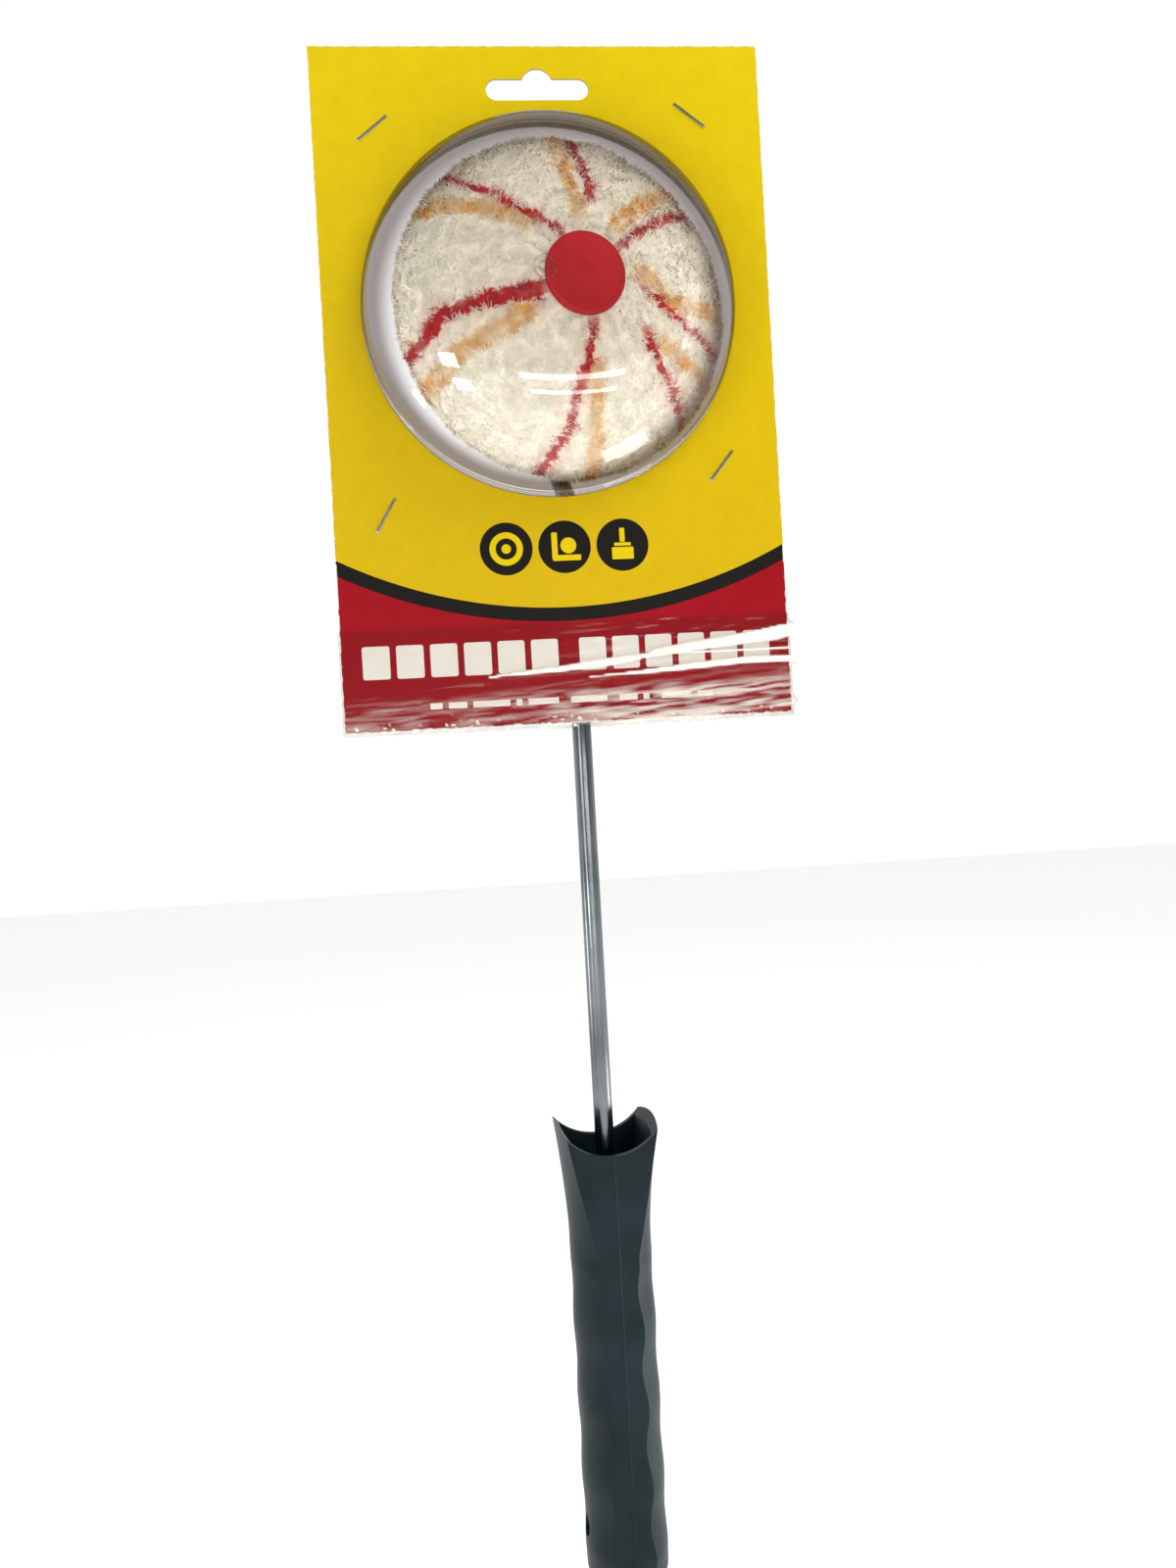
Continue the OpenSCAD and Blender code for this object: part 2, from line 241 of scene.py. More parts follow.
# the stage: pale floor, soft lights, and the camera where a person holding the pack up would look from
stage = {"floorBelow": 34, "floorSize": 6000,
         "camera": (-29.2, -366.8, -216.0), "look": (0.0896, 0.9960, -0.0024),
         "up": (0.0558, -0.0026, 0.9984), "sensor": 36, "lens": 27.05, "floorGlow": 0.3}

deselectAll()
floorHeight = handleLow.z - stage["floorBelow"] * mm
bpy.ops.mesh.primitive_plane_add(size=stage["floorSize"] * mm, location=(0, 0, floorHeight))
floor = named("floor")
floorMaterial, tree, shader, place = newMaterial("paintedFloorBoard")  # matt white paint, rolled: faint orange peel
peel = add(tree, "TexNoise", {"Scale": 400.0, "Detail": 3.0}, Vector=place)
setShader(shader, Base_Color=linear("#fbfbfa"), Roughness=0.9, Emission_Color=linear("#ffffff"),
          Emission_Strength=stage["floorGlow"],
          Normal=add(tree, "Bump", {"Strength": 0.3, "Distance": 0.00005}, Height=peel))
floor.data.materials.append(floorMaterial)

cameraData = bpy.data.cameras.new("camera")
cameraData.sensor_fit = "VERTICAL"
cameraData.sensor_height = stage["sensor"]
cameraData.lens = stage["lens"]
cameraData.clip_start = 0.01
camera = bpy.data.objects.new("camera", cameraData)
bpy.context.scene.collection.objects.link(camera)
look, upright = Vector(stage["look"]).normalized(), Vector(stage["up"])
across = look.cross(upright).normalized()
camera.matrix_world = Matrix.Translation(Vector(stage["camera"]) * mm) @ Matrix(
    (across, across.cross(look), -look)).transposed().to_4x4()
bpy.context.scene.camera = camera
print("floor and camera set")


# pile cover and the foam pad under it: closed lens forms, gathered round both necks
pileSpec = {"radius": 51.8, "depth": 26.8, "square": 1.8, "neck": 10.8, "steps": 168, "around": 480,
            "innerRadius": 44.1, "innerDepth": 21.6, "innerSteps": 36,
            "folds": 19, "foldDepth": 0.9, "foldLift": 0.6, "gathered": (36, 13), "stripeDip": 0.45,
            "lumps": ((0.35, 12, 5), (0.16, 3.2, 6), (0.1, 1.2, 7)),  # height, size and offset of each noise
            "blades": 56000, "bladeFrom": 12.6, "bladeLength": (1.8, 3.2), "bladeWidth": (0.26, 0.42),
            "bladeLean": (50, 84), "rootDepth": 0.35, "jitter": 0.4,
            "rootShadeTipLight": (0.93, 0.93, 1.0, 1.0, 1.06)}  # painted shade at the roots, painted light at the tips
foamSpec = {"radius": 44.0, "depth": 21.5, "square": 1.8, "neck": 10.7, "steps": 56, "around": 160,
            "innerRadius": 38.1, "innerDepth": 17.1, "innerSteps": 30}
redYarns = [  # (distance from the axle, angle) along each stripe, where it starts, its half width in mm
    ([(14, 84), (27, 79.6), (39, 85.2), (52, 86)], 23, 1.0),
    ([(13, 41), (15.5, 38), (28, 39.2), (52, 34.8)], 13, 0.9),
    ([(16, -4), (22.5, -10.7), (37.7, -17.7), (51, -17.4)], 17, 0.85),
    ([(20, -34), (25.7, -38.1), (36.9, -44.4), (51, -45.6)], 22, 1.05),
    ([(12.7, -80.3), (22.6, -87.5), (32.7, -94.2), (40.6, -94.9), (50.7, -101.2)], 12, 1.2),
    ([(10.3, -162.7), (30.1, -167.3), (40.6, -168), (49.5, -160.7)], 11, 2.0),
    ([(14.6, 115.9), (20, 124.6), (28.6, 130.7), (44.6, 136), (53.5, 133)], 12, 0.95)]
yellowYarns = [
    ([(20.6, 89.8), (34, 93.9), (52.9, 92.4)], 17, 1.5),
    ([(21.4, 55), (35.6, 48.6), (52.8, 43.8)], 17, 1.6),
    ([(17.2, 7.4), (28.4, -7.8), (51.1, -4)], 15, 1.4),
    ([(35.7, -32.9), (47.3, -29.4)], 29, 1.4),
    ([(27, -83.7), (45.3, -83.6)], 23, 1.6),
    ([(20, -148.3), (40.4, -151.2), (48, -148.8)], 16, 1.9),
    ([(24.2, 136.4), (50.4, 150.9)], 20, 1.9)]
yarnColours = {"cream": "#fff8e4", "halo": "#f0b9a8", "yellow": "#e6a51f", "red": "#c3141f"}


def lensRows(radius, depth, square, neck, steps):  # (radius, height) from the front neck over the rim to the rear
    edge = math.acos((neck / radius) ** (square / 2))
    rows = []
    for i in range(steps + 1):
        angle = edge * (1 - 2 * i / steps)
        height = depth * abs(math.sin(angle)) ** (2 / square)
        rows.append((radius * math.cos(angle) ** (2 / square), math.copysign(height, angle)))
    return rows


def padRows(spec):  # closed cross-section: outer form, rear neck, inner form, front neck
    outer = lensRows(spec["radius"], spec["depth"], spec["square"], spec["neck"], spec["steps"])
    inner = lensRows(spec["innerRadius"], spec["innerDepth"], spec["square"], spec["neck"], spec["innerSteps"])
    drop = outer[0][1] - inner[0][1]
    neckWall = [(spec["neck"], outer[0][1] - drop * k / 4) for k in (1, 2, 3)]
    return outer, [(r, -z) for r, z in neckWall] + inner[::-1] + neckWall[::-1]


def rumple(points, size, offset=0.0):  # smooth noise from -1 to 1, features of about that size in mm
    return np.array([noise.noise(Vector(p) / size + Vector((offset, offset * 0.7, 3))) for p in points])


def easeStep(low, high, value):
    u = np.clip((value - low) / (high - low), 0, 1)
    return u * u * (3 - 2 * u)


def yarnMask(yarns, along, angle, radius, wander, softness):  # how strongly the yarns show, and their nearness
    mask, near = np.zeros_like(angle), np.zeros_like(angle)
    for path, start, halfWidth in yarns:
        centre = np.interp(along, [p[0] for p in path], [p[1] for p in path])
        turn = (angle - centre + 180) % 360 - 180
        away = np.abs(np.radians(turn) * radius + wander)
        shown = easeStep(start - 3, start + 4, along)
        mask = np.maximum(mask, shown * (1 - easeStep(halfWidth, halfWidth + softness, away)))
        near = np.maximum(near, shown * np.exp(-(away / (halfWidth + 2.2)) ** 2))
    return mask, near


def pileColours(points, jag):  # points in the head's own frame, mm
    radius = np.hypot(points[:, 0], points[:, 1])
    angle = np.degrees(np.arctan2(points[:, 1], points[:, 0]))
    along = np.where(points[:, 2] >= 0, radius, 2 * pileSpec["radius"] - radius)
    soft, hard = rumple(points, 7, 4), rumple(points, 1.9, 9)
    red, near = yarnMask(redYarns, along, angle, radius, 0.5 * soft + 1.7 * hard + jag, 0.7)
    yellow = yarnMask(yellowYarns, along, angle, radius, 0.9 * soft + 1.6 * hard + jag, 2.0)[0]
    patch = np.clip(0.75 + 0.6 * rumple(points, 4.5, 21), 0.2, 1)
    colours = np.tile(linear(yarnColours["cream"]), (len(points), 1))
    layers = [("halo", 0.42 * near), ("yellow", 0.85 * yellow * patch), ("red", red * np.clip(patch + 0.35, 0, 1))]
    for key, weight in layers:
        colours += (linear(yarnColours[key]) - colours) * weight[:, None]
    return colours, near


def makePad(spec):
    outer, rest = padRows(spec)
    rows, count = outer + rest, spec["around"]
    turns = np.arange(count) * 2 * math.pi / count
    points = np.array([(r * math.cos(a), r * math.sin(a), z) for r, z in rows for a in turns])
    return points, gridFaces(len(rows), count, closedRows=True), len(outer) * count


def giveColours(piece, colours):
    layer = piece.data.color_attributes.new("tint", "FLOAT_COLOR", "POINT")
    layer.data.foreach_set("color", colours.astype(np.float32).ravel())


def makePileCover():
    points, faces, outerCount = makePad(pileSpec)
    skin = points[:outerCount]
    radius = np.hypot(skin[:, 0], skin[:, 1])
    angle = np.arctan2(skin[:, 1], skin[:, 0])
    outward = skin / np.square([pileSpec["radius"], pileSpec["radius"], pileSpec["depth"]])
    outward /= np.linalg.norm(outward, axis=1)[:, None]
    gather = easeStep(*pileSpec["gathered"], radius)
    phase = pileSpec["folds"] * angle + 2.6 * rumple(skin, 16, 2)
    colours, near = pileColours(skin, 0)
    lift = sum(height * rumple(skin, size, offset) for height, size, offset in pileSpec["lumps"])
    lift += gather * (pileSpec["foldLift"] - pileSpec["foldDepth"] * (0.5 + 0.5 * np.cos(phase)) ** 2)
    lift -= pileSpec["stripeDip"] * near
    lift *= easeStep(pileSpec["neck"], 13.5, radius)
    skin = skin + outward * lift[:, None]
    points[:outerCount] = skin
    backing = np.tile(linear(yarnColours["cream"]), (len(points) - outerCount, 1))
    colours = np.vstack([colours, backing])

    # short tapered tufts all over the outside
    count = pileSpec["around"]
    grid = skin.reshape(-1, count, 3)
    aroundEdge = np.roll(grid, -1, 1) - np.roll(grid, 1, 1)
    alongEdge = np.gradient(grid, axis=0)
    normals = np.cross(alongEdge, aroundEdge).reshape(-1, 3)
    normals /= np.linalg.norm(normals, axis=1)[:, None]
    normals *= np.sign((normals * outward).sum(1))[:, None]
    weight = radius * np.linalg.norm(alongEdge.reshape(-1, 3), axis=1) * (radius > pileSpec["bladeFrom"])
    chosen = rng.choice(outerCount, pileSpec["blades"], p=weight / weight.sum())
    normal = normals[chosen]
    sideways = np.cross(normal, skin[chosen])
    sideways /= np.linalg.norm(sideways, axis=1)[:, None]
    lengthways = np.cross(normal, sideways)
    jitter = rng.uniform(-pileSpec["jitter"], pileSpec["jitter"], (2, len(chosen)))
    root = skin[chosen] + sideways * jitter[0][:, None] + lengthways * jitter[1][:, None]
    root -= normal * pileSpec["rootDepth"]
    heading = 2.4 * math.pi * rumple(root, 8, 13) + rng.normal(0, 0.7, len(chosen))
    lean = np.radians(rng.uniform(*pileSpec["bladeLean"], len(chosen)))
    flow = sideways * np.cos(heading)[:, None] + lengthways * np.sin(heading)[:, None]
    across = np.cross(normal, flow)
    length = rng.uniform(*pileSpec["bladeLength"], len(chosen))[:, None]
    half = rng.uniform(*pileSpec["bladeWidth"], len(chosen))[:, None] / 2
    rise = normal * np.cos(lean / 2)[:, None] + flow * np.sin(lean / 2)[:, None]
    fall = normal * np.cos(lean)[:, None] + flow * np.sin(lean)[:, None]
    middle = root + rise * length * 0.45
    tip = middle + fall * length * 0.55
    blades = np.stack([root - across * half, root + across * half, middle - across * half * 0.8,
                       middle + across * half * 0.8, tip], 1).reshape(-1, 3)
    bladeColours = np.repeat(pileColours(root, rng.normal(0, 0.35, len(chosen)))[0], 5, 0)
    # each tuft's own random tone, times painted shade at its root and painted light at its tip
    bladeColours[:, :3] *= (rng.uniform(0.93, 1.06, (len(chosen), 1)) * pileSpec["rootShadeTipLight"]).reshape(-1, 1)
    first = len(points)
    for k in range(len(chosen)):
        a = first + 5 * k
        faces.append((a + 2, a + 3, a + 1, a))
        faces.append((a + 4, a + 3, a + 2))
    piece = meshFrom("pileCover", np.vstack([points, blades]) * mm, faces)
    giveColours(piece, np.vstack([colours, bladeColours]))
    applyAll(piece, headPlace)
    bpy.ops.object.shade_smooth()
    lit = np.repeat(normal * 0.6 + rise * 0.4, 5, 0) @ np.array(headPlace.to_3x3()).T  # tufts light like the skin
    piece.data.normals_split_custom_set_from_vertices(np.vstack([np.zeros_like(points), lit]))
    return piece


def makeFoamPad():
    points, faces = makePad(foamSpec)[:2]
    piece = meshFrom("foamPad", points * mm, faces)
    applyAll(piece, headPlace)
    bpy.ops.object.shade_smooth()
    return piece


def pileFabric():
    material, tree, shader, place = newMaterial("wovenPolyamidePile")  # tufted pile: matt, soft edge glow, no gloss
    tint = add(tree, "Attribute", {"attribute_name": "tint"})
    mottle = add(tree, "TexNoise", {"Scale": 260.0, "Detail": 4.0, "Roughness": 0.7}, Vector=place)
    value = add(tree, "MapRange", {**soft, 1: 0.3, 2: 0.7, 3: 0.96, 4: 1.12}, Value=mottle)
    shaded = add(tree, "VectorMath", {"operation": "SCALE"}, i0=tint.outputs["Color"], Scale=value)
    fuzz = add(tree, "TexNoise", {"Scale": 1600.0, "Detail": 2.0}, Vector=place)  # 0.6 mm yarn ends
    setShader(shader, Base_Color=shaded, Roughness=0.95, Sheen_Weight=0.15, Sheen_Roughness=0.6,
              Specular_IOR_Level=0.1,
              Normal=add(tree, "Bump", {"Strength": 0.25, "Distance": 0.0002}, Height=fuzz))
    return material


def openCellFoam():
    material, tree, shader, place = newMaterial("openCellFoam")  # cut polyurethane foam: matt, cells of about 0.8 mm, with painted shade in each cell's middle
    cells = add(tree, "TexVoronoi", {"Scale": 1250.0}, Vector=place)
    # darker in each cell's middle: painted shade in the open pores
    inside = add(tree, "MapRange", {**soft, 1: 0.1, 2: 0.6}, Value=cells)
    colour = add(tree, "Mix", {"data_type": "RGBA", 6: linear("#d9c88a"), 7: linear("#eee2b4")},
                 Factor=inside)
    setShader(shader, Base_Color=colour, Roughness=0.95, Specular_IOR_Level=0.2,
              Normal=add(tree, "Bump", {"Strength": 0.8, "Distance": 0.0005}, Height=cells))
    return material


pileCover = finished(makePileCover(), turningBody, "pile_fabric", pileFabric(), "pile_cover")
foamPad = finished(makeFoamPad(), turningBody, "foam", openCellFoam(), "foam_pad")


# moulded red hub parts
capSpec = {"radius": 12.0, "face": 29.0, "under": 26.8, "skirtOut": 8.0, "skirtIn": 6.9, "skirtFrom": 22.7}
collarSpec = {"radius": 12.0, "bore": 5.4, "face": 28.4}


def mottledFinish(name, base, dark, roughness, look, **values):  # patches vary the colour, grain the gloss and relief
    material, tree, shader, place = newMaterial(name)
    patch = add(tree, "TexNoise", look["patch"], Vector=place)
    paler = add(tree, "MapRange", {**soft, 1: look["patchRuns"][0], 2: look["patchRuns"][1]}, Value=patch)
    colour = add(tree, "Mix", {"data_type": "RGBA", 6: linear(dark), 7: linear(base)}, Factor=paler)
    stretched = add(tree, "Mapping", {"Scale": look["stretch"]}, Vector=place)
    grain = add(tree, "TexNoise", look["grain"], Vector=stretched)
    dulled = add(tree, "MapRange", {**soft, 1: look["grainRuns"][0], 2: look["grainRuns"][1],
                                              3: roughness - look["glossier"], 4: roughness + look["duller"]},
                 Value=grain)
    setShader(shader, Base_Color=colour, Roughness=dulled, **values,
              Normal=add(tree, "Bump", look["relief"], Height=grain))
    return material


# injection-moulded polystyrene: satin, faint flow marks and dust
styreneLook = {"patch": {"Scale": 90.0, "Detail": 3.0, "Distortion": 0.6}, "patchRuns": (0.25, 0.6),
               "grain": {"Scale": 1400.0, "Detail": 4.0}, "stretch": (1, 1, 1), "grainRuns": (0.3, 0.75),
               "glossier": 0.06, "duller": 0.12, "relief": {"Strength": 0.5, "Distance": 0.00004}}


def skirt():  # the step and the ring under the cap, which the collar has too
    c = capSpec
    return [(c["skirtIn"] - 0.3, c["under"]), (c["skirtIn"], c["under"] - 0.3), (c["skirtIn"], c["skirtFrom"]),
            (c["skirtIn"] + 0.3, c["skirtFrom"] - 0.15), (c["skirtOut"] - 0.3, c["skirtFrom"] - 0.15),
            (c["skirtOut"], c["skirtFrom"] + 0.2)]


def makeCap():
    c = capSpec
    radius, face, under = c["radius"], c["face"], c["under"]
    piece = turned("frontCap", [(0, under)] + skirt() + [
        (c["skirtOut"], under - 0.2), (c["skirtOut"] + 0.2, under), (radius - 0.35, under),
        (radius - 0.08, under + 0.1), (radius, under + 0.35), (radius, face - 0.75),
        (radius - 0.12, face - 0.35), (radius - 0.4, face - 0.1), (radius - 0.8, face),
        (radius - 1.3, face), (radius - 1.5, face - 0.14), (4, face - 0.12),
        (1.3, face - 0.12), (1.15, face - 0.04), (0.2, face - 0.04), (0, face - 0.04)], 128)
    return cleanUp(applyAll(piece, headPlace), 40)


def makeCollar():
    radius, face, bore, under = collarSpec["radius"], collarSpec["face"], collarSpec["bore"], capSpec["under"]
    profile = [(bore + 0.2, under)] + skirt() + [
        (capSpec["skirtOut"], under), (radius - 0.35, under), (radius, under + 0.35),
        (radius, face - 0.6), (radius - 0.15, face - 0.2), (radius - 0.6, face),
        (bore + 0.4, face), (bore, face - 0.3), (bore, under + 0.2), (bore + 0.2, under)]
    piece = turned("rearCollar", [(r, -z) for r, z in profile], 128)
    return cleanUp(applyAll(piece, headPlace), 40)


redStyrene = mottledFinish("mouldedRedStyrene", "#c9121c", "#be101a", 0.6, styreneLook, Specular_IOR_Level=0.25)
finished(makeCap(), turningBody, "red_plastic", redStyrene, "front_cap")
finished(makeCollar(), turningBody, "red_plastic", redStyrene, "rear_collar")


# bent wire frame
wireSpec = {"radius": 3.0, "sides": 40, "low": 12.0, "top": 8.0, "back": 35.0, "crank": 128.0, "wheel": 69.0,
            "end": 392.5, "shaftSteps": 8, "tip": 64.6, "chamfer": 0.5,
            "earWidth": 9.2, "earHeight": 2.8, "ear": (18.9, 22.1)}


def followPath(piece, start, axis, path):  # a straight is (step, growth), a bend (towards, radius, degrees, steps)
    edit(piece)
    at = Vector(start)
    for leg in path:
        if len(leg) == 2:
            step, growth = Vector(leg[0]), leg[1]
            bpy.ops.mesh.extrude_region_move(TRANSFORM_OT_translate={"value": step * mm})
            at = at + step
            if growth != 1:
                bpy.ops.transform.resize(value=(growth,) * 3, center_override=at * mm)
        else:
            towards, radius, degrees, steps = leg
            middle = at + Vector(towards) * radius
            bpy.ops.mesh.spin(steps=steps, angle=math.radians(-degrees), center=middle * mm,
                              axis=[float(axis == letter) for letter in "XYZ"])  # spin runs clockwise
            at = middle + Matrix.Rotation(math.radians(degrees), 3, axis) @ (at - middle)
    bpy.ops.object.mode_set(mode="OBJECT")


def makeWire():
    w = wireSpec
    diagonal = math.sqrt(0.5)
    cut = w["low"] * math.tan(math.radians(22.5))
    deselectAll()
    bpy.ops.mesh.primitive_circle_add(vertices=w["sides"], radius=w["radius"] * 0.8 * mm, fill_type="NGON",
                                      location=(0, 0, -w["end"] * mm))
    wire = applyAll(named("wireFrame"))
    shaft = (w["end"] - w["crank"] - cut - w["chamfer"]) / w["shaftSteps"]
    slope = w["back"] - 2 * cut * diagonal
    path = [((0, 0, w["chamfer"]), 1.25)] + [((0, 0, shaft), 1)] * w["shaftSteps"] + [
        ((0, 1, 0), w["low"], -45, 10), ((0, slope, slope), 1), ((0, -diagonal, diagonal), w["low"], 45, 10),
        ((0, 0, w["crank"] - w["back"] - w["wheel"] - cut - w["top"]), 1), ((0, -1, 0), w["top"], 90, 16),
        ((0, w["top"] + w["chamfer"] - w["tip"], 0), 1), ((0, -w["chamfer"], 0), 0.8)]
    followPath(wire, (0, 0, -w["end"]), "X", path)
    cleanUp(wire, 40)
    front, rear = w["ear"]  # shoulder pressed out of the wire behind the wheel
    deselectAll()
    bpy.ops.mesh.primitive_cube_add(size=mm, location=Vector((0, (front + rear) / 2, -w["wheel"])) * mm)
    ear = named("ear")
    ear.scale = (w["earWidth"], rear - front, w["earHeight"])
    applyAll(ear)
    addModifier(ear, "BEVEL", width=0.7 * mm, segments=3)
    cutWith(wire, ear, "UNION")
    place = Matrix.Translation((shaftX, shaftY, 0)) @ Matrix.Rotation(headTurn, 4, "Z")
    return cleanUp(applyAll(wire, place), 40, 0.000002)


# drawn steel, zinc plated: streaks run along the wire
drawnLook = {"patch": {"Scale": 55.0, "Detail": 3.0}, "patchRuns": (0.3, 0.6),
             "grain": {"Scale": 1.0, "Detail": 5.0, "Roughness": 0.6}, "grainRuns": (0.3, 0.7),
             "glossier": 0.08, "duller": 0.14, "relief": {"Strength": 0.6, "Distance": 0.00006}}
zincWire = mottledFinish("drawnZincPlatedWire", "#7d8285", "#62676a", 0.2,
                         {**drawnLook, "stretch": (900.0, 900.0, 14.0)}, Metallic=1.0)
finished(makeWire(), fixedBody, "plated_wire", zincWire, "wire_frame")


# moulded handle: lofted rings, hollow, scooped mouth, hang hole and a fine parting line
handleSpec = {"length": 143.5, "mouth": 322.5, "mouthHalfWidth": 15.6, "mouthHalfDepth": 14.0, "gripHalfWidth": 12.8,
              "gripHalfDepth": 14.0, "strip": 6.0, "wavePitch": 24.0, "waveDepth": 0.7, "wall": 1.9, "scoop": 8.5,
              "hole": 3.5, "funnel": 34.0, "hollow": 10.4, "floor": 4.0, "ridge": 0.14, "sideSteps": 12}


def mix(a, b, t):
    return a + (b - a) * t


def smooth(t):
    u = max(0.0, min(1.0, t))
    return u * u * (3 - 2 * u)


def handleOutline(s, inset=0.0, ridge=0.0):  # s: depth below the mouth's tips
    h = handleSpec
    wave = h["waveDepth"] * math.cos(math.radians(360 * (s - 63) / h["wavePitch"])) * smooth(
        (s - 35) / 15) * smooth((h["length"] - 4 - s) / 8)
    flare = max(0.0, 1 - s / 34) ** 1.35
    u = max(0.0, s - h["length"] + 4) / 4
    rounding = 1 - 0.14 * (1 - math.sqrt(max(0.0, 1 - u * u)))
    width = (mix(h["gripHalfWidth"], h["mouthHalfWidth"], flare) + 0.3 * wave) * rounding - inset
    depth = (mix(h["gripHalfDepth"], h["mouthHalfDepth"], flare) + 0.4 * wave) * rounding - inset
    strip = mix(h["strip"] + wave, h["mouthHalfWidth"] - 1, max(0.0, 1 - s / 40) ** 0.9) * rounding - 0.7 * inset
    start = math.radians(mix(44, 76, max(0.0, 1 - s / 34) ** 0.8))
    rx, ry = (width - strip) / (1 - math.sin(start)), (depth - 0.35) / math.cos(start)
    quarter = [(0, depth + ridge), (0.1, depth + ridge), (0.28, depth), (strip * 0.5, depth - 0.08),
               (strip * 0.85, depth - 0.24)]
    for i in range(h["sideSteps"] + 1):
        a = start + (math.pi / 2 - start) * i / h["sideSteps"]
        quarter.append((strip + rx * (math.sin(a) - math.sin(start)), ry * math.cos(a)))
    quarter[-1] = (quarter[-1][0], 0.0)
    half = quarter + [(x, -y) for x, y in quarter[-2::-1]]
    return half + [(-x, y) for x, y in half[-2:0:-1]]


def loft(name, depths, inset=0.0, ridge=0.0):
    rings = [[(x, y, -handleSpec["mouth"] - s) for x, y in handleOutline(s, inset, ridge)] for s in depths]
    count = len(rings[0])
    last = (len(rings) - 1) * count
    faces = gridFaces(len(rings), count) + [tuple(range(count)), tuple(range(last + count - 1, last - 1, -1))]
    piece = meshFrom(name, np.array([p for ring in rings for p in ring]) * mm, faces)
    edit(piece)
    bpy.ops.mesh.normals_make_consistent(inside=False)
    bpy.ops.object.mode_set(mode="OBJECT")
    return piece


def rod(name, radius, length, middle, axis="Z", sides=64):
    deselectAll()
    turn = {"X": (0, math.pi / 2, 0), "Y": (math.pi / 2, 0, 0), "Z": (0, 0, 0)}[axis]
    bpy.ops.mesh.primitive_cylinder_add(vertices=sides, radius=radius * mm, depth=length * mm,
                                        location=Vector(middle) * mm, rotation=turn)
    return applyAll(named(name))


def makeHandle():
    h = handleSpec
    end = h["length"]
    depths = [0.9 * k for k in range(46)] + [41 + k * 1.4 for k in range(1, 70)]
    depths = [s for s in depths if s < end - 4.5] + [end - 4 + 4 * u for u in (0, 0.3, 0.55, 0.75, 0.9, 0.97, 1)]
    shell = loft("handleShell", depths, ridge=h["ridge"])
    cutWith(shell, loft("funnel", [-0.5, 2, 4, 6, 8, 10.5, 13, 16, 19, 22, 26, 30, h["funnel"]], inset=h["wall"]))
    deep = end - h["floor"] - h["funnel"] + 1
    cutWith(shell, rod("hollow", h["hollow"], deep, (0, 0, -h["mouth"] - h["funnel"] + 1 - deep / 2)))
    holeAt = (0, 0, hangZ / mm)
    cutWith(shell, rod("holeWall", h["hole"] + 1.8, 2 * h["gripHalfWidth"] - 2, holeAt, "X", 48), "UNION")
    scoopRadius = (h["mouthHalfWidth"] ** 2 + h["scoop"] ** 2) / (2 * h["scoop"])
    cutWith(shell, rod("scoop", scoopRadius, 60, (0, 0, -h["mouth"] - h["scoop"] + scoopRadius), "Y", 160))
    cutWith(shell, rod("hangHole", h["hole"], 40, holeAt, "X", 48))
    cleanUp(shell, 28, 0.000004)
    addModifier(shell, "BEVEL", width=0.22 * mm, segments=2, limit_method="ANGLE", angle_limit=math.radians(48),
                use_clamp_overlap=True)
    place = Matrix.Translation((shaftX, shaftY, 0)) @ Matrix.Rotation(handleTurn, 4, "Z")
    applyAll(shell, place)
    bpy.ops.object.shade_smooth_by_angle(angle=math.radians(28))
    return shell


def mouldedPolypropylene():
    material, tree, shader, place = newMaterial("sparkTexturedPolypropylene")  # black, spark-eroded mould: satin
    grain = add(tree, "TexVoronoi", {"Scale": 2600.0, "feature": "SMOOTH_F1", "Smoothness": 0.6},
                Vector=place)  # 0.4 mm grain
    cloud = add(tree, "TexNoise", {"Scale": 45.0, "Detail": 4.0, "Roughness": 0.6}, Vector=place)
    paler = add(tree, "MapRange", {**soft, 1: 0.3, 2: 0.7}, Value=cloud)
    colour = add(tree, "Mix", {"data_type": "RGBA", 6: linear("#131d20"), 7: linear("#1b292d")},
                 Factor=paler)
    setShader(shader, Base_Color=colour, Specular_IOR_Level=0.12,
              Roughness=add(tree, "MapRange", {**soft, 1: 0.25, 2: 0.75, 3: 0.36, 4: 0.46}, Value=cloud),
              Normal=add(tree, "Bump", {"Strength": 0.45, "Distance": 0.00012}, Height=grain))
    return material


finished(makeHandle(), fixedBody, "handle_plastic", mouldedPolypropylene(), "handle_shell")


# staples through card and sheet: one is shaped, then copied to the four corners
stapleSpec = {"crown": 12.5, "thick": 0.5, "wide": 0.8, "bend": 0.55, "behind": 1.5, "tail": 4.4,
              "places": [(-51.6, -11.8, 39.5), (47.4, -8.4, -38.3), (51.6, -119, 50.9), (-53.9, -131, 59)]}


def makeStaple():
    t = stapleSpec
    half = t["crown"] / 2 - t["thick"] / 2
    front, rear = cardLow.y / mm - t["thick"] / 2, t["behind"] - t["thick"] / 2
    deep = rear - front - 2 * t["bend"]
    start = (t["tail"] - half, rear, 0)
    deselectAll()
    bpy.ops.mesh.primitive_plane_add(size=mm, location=Vector(start) * mm, rotation=(0, math.pi / 2, 0))
    staple = named("staple")
    staple.scale = (t["wide"], t["thick"], 1)
    applyAll(staple)
    turns = [(towards, t["bend"], 90, 5) for towards in ((0, -1, 0), (1, 0, 0), (0, 1, 0), (-1, 0, 0))]
    foot, crown = (t["bend"] - t["tail"], 0, 0), (2 * (half - t["bend"]), 0, 0)
    followPath(staple, start, "Z", [(foot, 1), turns[0], ((0, -deep, 0), 1), turns[1], (crown, 1), turns[2],
                                    ((0, deep, 0), 1), turns[3], (foot, 1)])
    cleanUp(staple, 40, 0.000002)
    addModifier(staple, "BEVEL", width=0.12 * mm, segments=2, limit_method="ANGLE", angle_limit=math.radians(60))
    return staple


